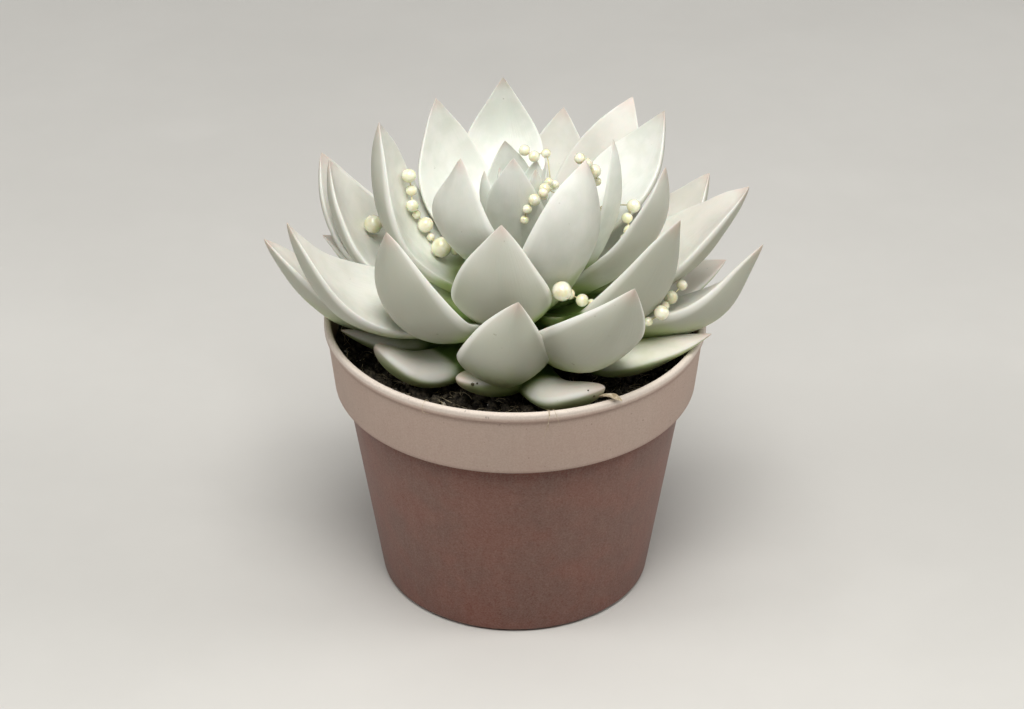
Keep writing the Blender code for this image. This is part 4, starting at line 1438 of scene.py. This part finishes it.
@dataclass
class PearlGarland:
    """Pearls on a thin cord, in four lengths that lie among the leaves along listed points."""

    leaves: BVHTree
    rim_height: float = 0.092
    routes: dict[str, tuple[Run, ...]] = field(default_factory=lambda: {
        "front": (
            Run(((-33, 13, 42), (-33, 13, 37), (-32, 9, 32), (-30, 11, 29), (-28, 9, 26), (-27, 9, 23), (-23, 4, 22)),
                (4.6, 3.6, 4.0, 2.8, 5.0, 2.6, 6.6)),
            Run(((-20, 6, 19),), (3.0,)),
            Run(((-16, 4, 18), (-14, -3, 18), (-14, -12, 18), (-14, -17, 18), (-15, -22, 18), (-9, -28, 18),
                 (-5, -28, 15), (3, -25, 15), (9, -27, 19), (14, -31, 26)), (0,) * 16 + (6.2,)),
            Run(((17, -29, 22), (20, -30, 21), (24, -27, 17)), (3.4, 4.0, 2.6)),
        ),
        "back": (
            Run(((41, -28, 13), (44, -29, 17), (46, -23, 16), (48, -17, 16), (51, -15, 20)), (3.0, 4.8, 2.8, 4.4, 3.4)),
            Run(((51, -7, 16), (49, -3, 16), (39, -4, 18)), (0,) * 7 + (3.0,)),
            Run(((34, -2, 23), (34, 2, 29))),
            Run(((35, 5, 33), (37, 7, 35)), (3.6, 4.4)),
            Run(((31, 8, 34), (26, 12, 32), (22, 19, 29), (19, 27, 28)), (0,) * 6 + (3.0,)),
            Run(((15, 29, 30), (12, 31, 30)), (3.2, 3.0)),
            Run(((8, 36, 27), (-3, 41, 24), (-11, 38, 25), (-19, 36, 29)), (0,) * 10 + (3.0,)),
            Run(((-27, 27, 28), (-33, 27, 24))),
            Run(((-38, 24, 24), (-42, 20, 24), (-45, 16, 23)), (0, 0, 0, 6.0)),
        ),
        "inner": (
            Run(((3, -21, 45), (4, -21, 48), (4, -20, 51), (7, -19, 51), (9, -15, 52), (10, -12, 50), (11, -6, 50),
                 (14, -3, 49)), (2.8, 3.0, 3.8, 3.2, 2.8, 3.6, 2.8, 2.8)),
        ),
        "heart": (
            Run(((26, -9, 52), (24, -11, 57), (22, -13, 60), (20, -17, 64), (18, -18, 66)), (2.8, 4.2, 3.6, 3.0, 3.4)),
            Run(((21, -16, 60), (21, -13, 54), (18, -9, 49), (14, -5, 46), (10, 5, 45), (10, 11, 52)),
                (0,) * 9 + (3.0,)),
            Run(((7, 12, 50), (3, 14, 50)), (3.6, 3.6)),
        ),
    })
    sizes: tuple[float, ...] = (4.2, 3.0, 4.2, 3.0, 4.2, 5.8, 3.0)
    most_pearls: int = 120
    space: float = 0.6 * MM
    cord_radius: float = 0.2 * MM
    clearance: float = 0.3 * MM
    route_pull: float = 0.04
    leaf_pull: float = 0.1 * MM
    settle_rounds: int = 260
    clearing_rounds: int = 60
    guide_steps: int = 24
    pearl_rings: int = 15
    pearl_sides: int = 22
    pole_tilt: float = 0.12
    pole_flatness: float = 0.05
    cord_steps: int = 8
    cord_sides: int = 8
    probe: Vector = field(default_factory=lambda: Vector((0.013, 0.021, 1.0)).normalized())

    def distance_out(self, point: Array) -> tuple[float, Array]:
        """How far a point is outside the leaves.

        A ray from the point leaves more shells than it enters when the point is inside one.

        Args:
            point: The point.

        Returns:
            The distance, negative inside, and the unit vector that leads outwards.
        """
        spot, _, _, distance = self.leaves.find_nearest(Vector(point))
        inside = 0
        hit, normal, _, _ = self.leaves.ray_cast(Vector(point), self.probe)
        while hit is not None:
            inside += 1 if normal.dot(self.probe) > 0 else -1
            hit, normal, _, _ = self.leaves.ray_cast(hit + self.probe * 1e-6, self.probe)
        sign = -1.0 if inside > 0 else 1.0
        return sign * distance, sign * (point - np.array(spot)) / max(distance, 1e-9)

    def laid(self, runs: tuple[Run, ...]) -> tuple[Array, Array]:
        """Sets a length's pearls along its points, each run's spacing stretched so that it ends on its last point.

        Args:
            runs: The length's runs in order.

        Returns:
            The centres and the radii, 0 on a bare stretch.
        """
        places, radii, start = np.zeros((0, 3)), np.zeros(0), ()
        for run in runs:
            line = curve_through(np.array(start + run.points, float) * MM + self.rim_height * UP, self.guide_steps)
            start = run.points[-1:]
            length = np.concatenate(((0.0,), np.cumsum(np.linalg.norm(np.diff(line, axis=0), axis=1))))
            sizes = run.sizes or tuple(np.resize(self.sizes, self.most_pearls))
            sizes = np.concatenate((radii[-1:], np.array(sizes, float) * MM / 2))
            stops = np.concatenate(((0.0,), np.cumsum(sizes[:-1] + sizes[1:] + self.space)))
            if not run.sizes:
                within = stops <= length[-1]
                stops, sizes = stops[within], sizes[within]
            stops *= length[-1] / stops[-1]
            spots = np.stack([np.interp(stops, length, line[:, k]) for k in range(3)], axis=1)
            shared = min(len(radii), 1)
            places = np.concatenate((places, spots[shared:]))
            radii = np.concatenate((radii, sizes[shared:]))
        return places, radii

    def settled(self, runs: tuple[Run, ...]) -> tuple[Array, Array]:
        """Pearl centres and radii, each just clear of the leaf that it lies on.

        Every round pulls each pearl a little towards its place on the route and towards the nearest leaf,
        keeps neighbours their spacing apart, and pushes pearls and cord out of the leaves. The last rounds
        only push them out.

        Args:
            runs: The length's runs in order.

        Returns:
            The centres and the radii, 0 on a bare stretch.
        """
        guide, radii = self.laid(runs)
        touching = radii[:-1] + radii[1:] + 0.5 * self.space
        spacings = np.maximum(np.linalg.norm(np.diff(guide, axis=0), axis=1), touching)
        reach = np.maximum(radii, self.cord_radius)
        places = guide.copy()
        for step in range(self.settle_rounds + self.clearing_rounds):
            settling = step < self.settle_rounds
            if settling:
                places += self.route_pull * (guide - places)
                for k, wanted in enumerate(spacings):
                    apart = places[k + 1] - places[k]
                    far = np.linalg.norm(apart)
                    shift = 0.5 * (far - wanted) * apart / far
                    places[k] += shift
                    places[k + 1] -= shift
            for k, radius in enumerate(reach):
                out, away = self.distance_out(places[k])
                short = radius + self.clearance - out
                if short > 0 or settling:
                    places[k] += max(short, -self.leaf_pull) * away
            for k in range(len(places) - 1):
                out, away = self.distance_out(0.5 * (places[k] + places[k + 1]))
                short = self.cord_radius + self.clearance - out
                if short > 0:
                    places[k:k + 2] += short * away
        return places, radii

    def pearl(self, centre: Array, radius: float, way: Array) -> Surface:
        """A pearl: a ball drawn in slightly at the two ends where the cord enters.

        Its radius falls by a few percent towards the cord, by the fourth power of the tilt's cosine.

        Args:
            centre: Its middle.
            radius: Its radius.
            way: The cord's direction.

        Returns:
            The closed surface.
        """
        tilt = np.linspace(self.pole_tilt, np.pi - self.pole_tilt, self.pearl_rings)
        shape = radius * (1 - self.pole_flatness * np.cos(tilt) ** 4)
        return tube(centre - (shape * np.cos(tilt))[:, None] * way, shape * np.sin(tilt), self.pearl_sides)

    def build(self, pearl: bpy.types.Material, thread: bpy.types.Material) -> None:
        """Lays every length of the garland on the leaves.

        Args:
            pearl: The pearls' material.
            thread: The cord's material.
        """
        for name, runs in self.routes.items():
            places, radii = self.settled(runs)
            ways = unit(np.gradient(places, axis=0))
            pearls = Surface.joined([self.pearl(*each) for each in zip(places, radii, ways) if each[1] > 0])
            line = curve_through(places, self.cord_steps)
            cord = tube(line, np.full(len(line), self.cord_radius), self.cord_sides)
            node = f"pearl_strand_{name}"
            dressed(pearls.piece(f"{name}_pearls", pearl), Slot.PEARL, node)
            dressed(cord.piece(f"{name}_cord", thread), Slot.PEARL, node)


@dataclass(frozen=True)
class Lamp:
    """A square soft light: its name, where it hangs, its side, its power in watts and its colour."""

    name: str
    place: tuple[float, float, float]
    size: float
    power: float
    color: tuple[float, float, float] = (1.0, 0.99, 0.97)


@dataclass
class Studio:
    """A pale floor, soft lights and the camera at the photograph's viewing angle."""

    camera_place: tuple[float, float, float] = (0.0, -0.9096, 0.6265)
    target: tuple[float, float, float] = (-0.001, 0.0, 0.0770)
    lens: float = 118.0
    sensor_width: float = 36.0
    floor_size: float = 6.0
    world_color: tuple = ink(246, 248, 250)
    world_strength: float = 0.14
    lamps: tuple[Lamp, ...] = (
        Lamp("overhead", (0.0, 0.0, 1.3), 0.8, 4.0, (1.0, 0.985, 0.96)),
        Lamp("overhead_front", (0.0, -0.5, 1.2), 0.6, 11.6),
        Lamp("left", (-1.1, -0.2, 0.8), 0.5, 3.4),
        Lamp("right", (1.1, -0.1, 0.8), 0.5, 4.6),
    )

    def floor(self) -> None:
        """Lays the floor, with a faint cloudy tone."""
        half = self.floor_size / 2
        corners = np.array(((-half, -half, 0), (half, -half, 0), (half, half, 0), (-half, half, 0)))
        finish = EarthyFinish("pale_floor", ink(206, 204, 199), ink(212, 210, 205), 3.0, 0.02, roughness=0.6)
        Surface(corners, np.array(((0, 1, 2, 3),))).piece("floor", finish.material())

    def aimed(self, name: str, data: bpy.types.ID, place: tuple[float, float, float]) -> bpy.types.Object:
        """Sets up a light or a camera that faces the plant.

        Args:
            name: The new object's name.
            data: The light or camera.
            place: Where it stands or hangs.

        Returns:
            The object.
        """
        held = placed(name, data)
        held.location = place
        held.rotation_euler = (Vector(self.target) - Vector(place)).to_track_quat("-Z", "Y").to_euler()
        return held

    def build(self) -> None:
        """Sets up floor, world, lights and camera."""
        self.floor()
        world = bpy.data.worlds.new("studio")
        world.use_nodes = True
        sky = world.node_tree.nodes["Background"].inputs
        sky["Color"].default_value, sky["Strength"].default_value = self.world_color, self.world_strength
        bpy.context.scene.world = world
        bpy.context.scene.view_settings.view_transform = "Standard"
        for lamp in self.lamps:
            light = bpy.data.lights.new(lamp.name, "AREA")
            light.shape, light.size, light.energy, light.color = "SQUARE", lamp.size, lamp.power, lamp.color
            self.aimed(lamp.name, light, lamp.place)
        camera = bpy.data.cameras.new("camera")
        camera.lens, camera.sensor_width = self.lens, self.sensor_width
        bpy.context.scene.camera = self.aimed("camera", camera, self.camera_place)


def main() -> None:
    """Builds and dresses the plant, its pot and the studio."""
    logging.basicConfig(level=logging.INFO, format="%(name)s: %(message)s")
    leaves = Rosette().build(SprayedLeaf().material()).tree()
    pot = NurseryPot()
    pot.build(DustedPlastic(height=pot.height).material())
    GrowingMix(pot).build()
    Litter(pot, leaves).build()
    PearlGarland(leaves).build(PearlFinish().material(), CordFinish().material())
    Studio().build()


if __name__ == "__main__":
    main()
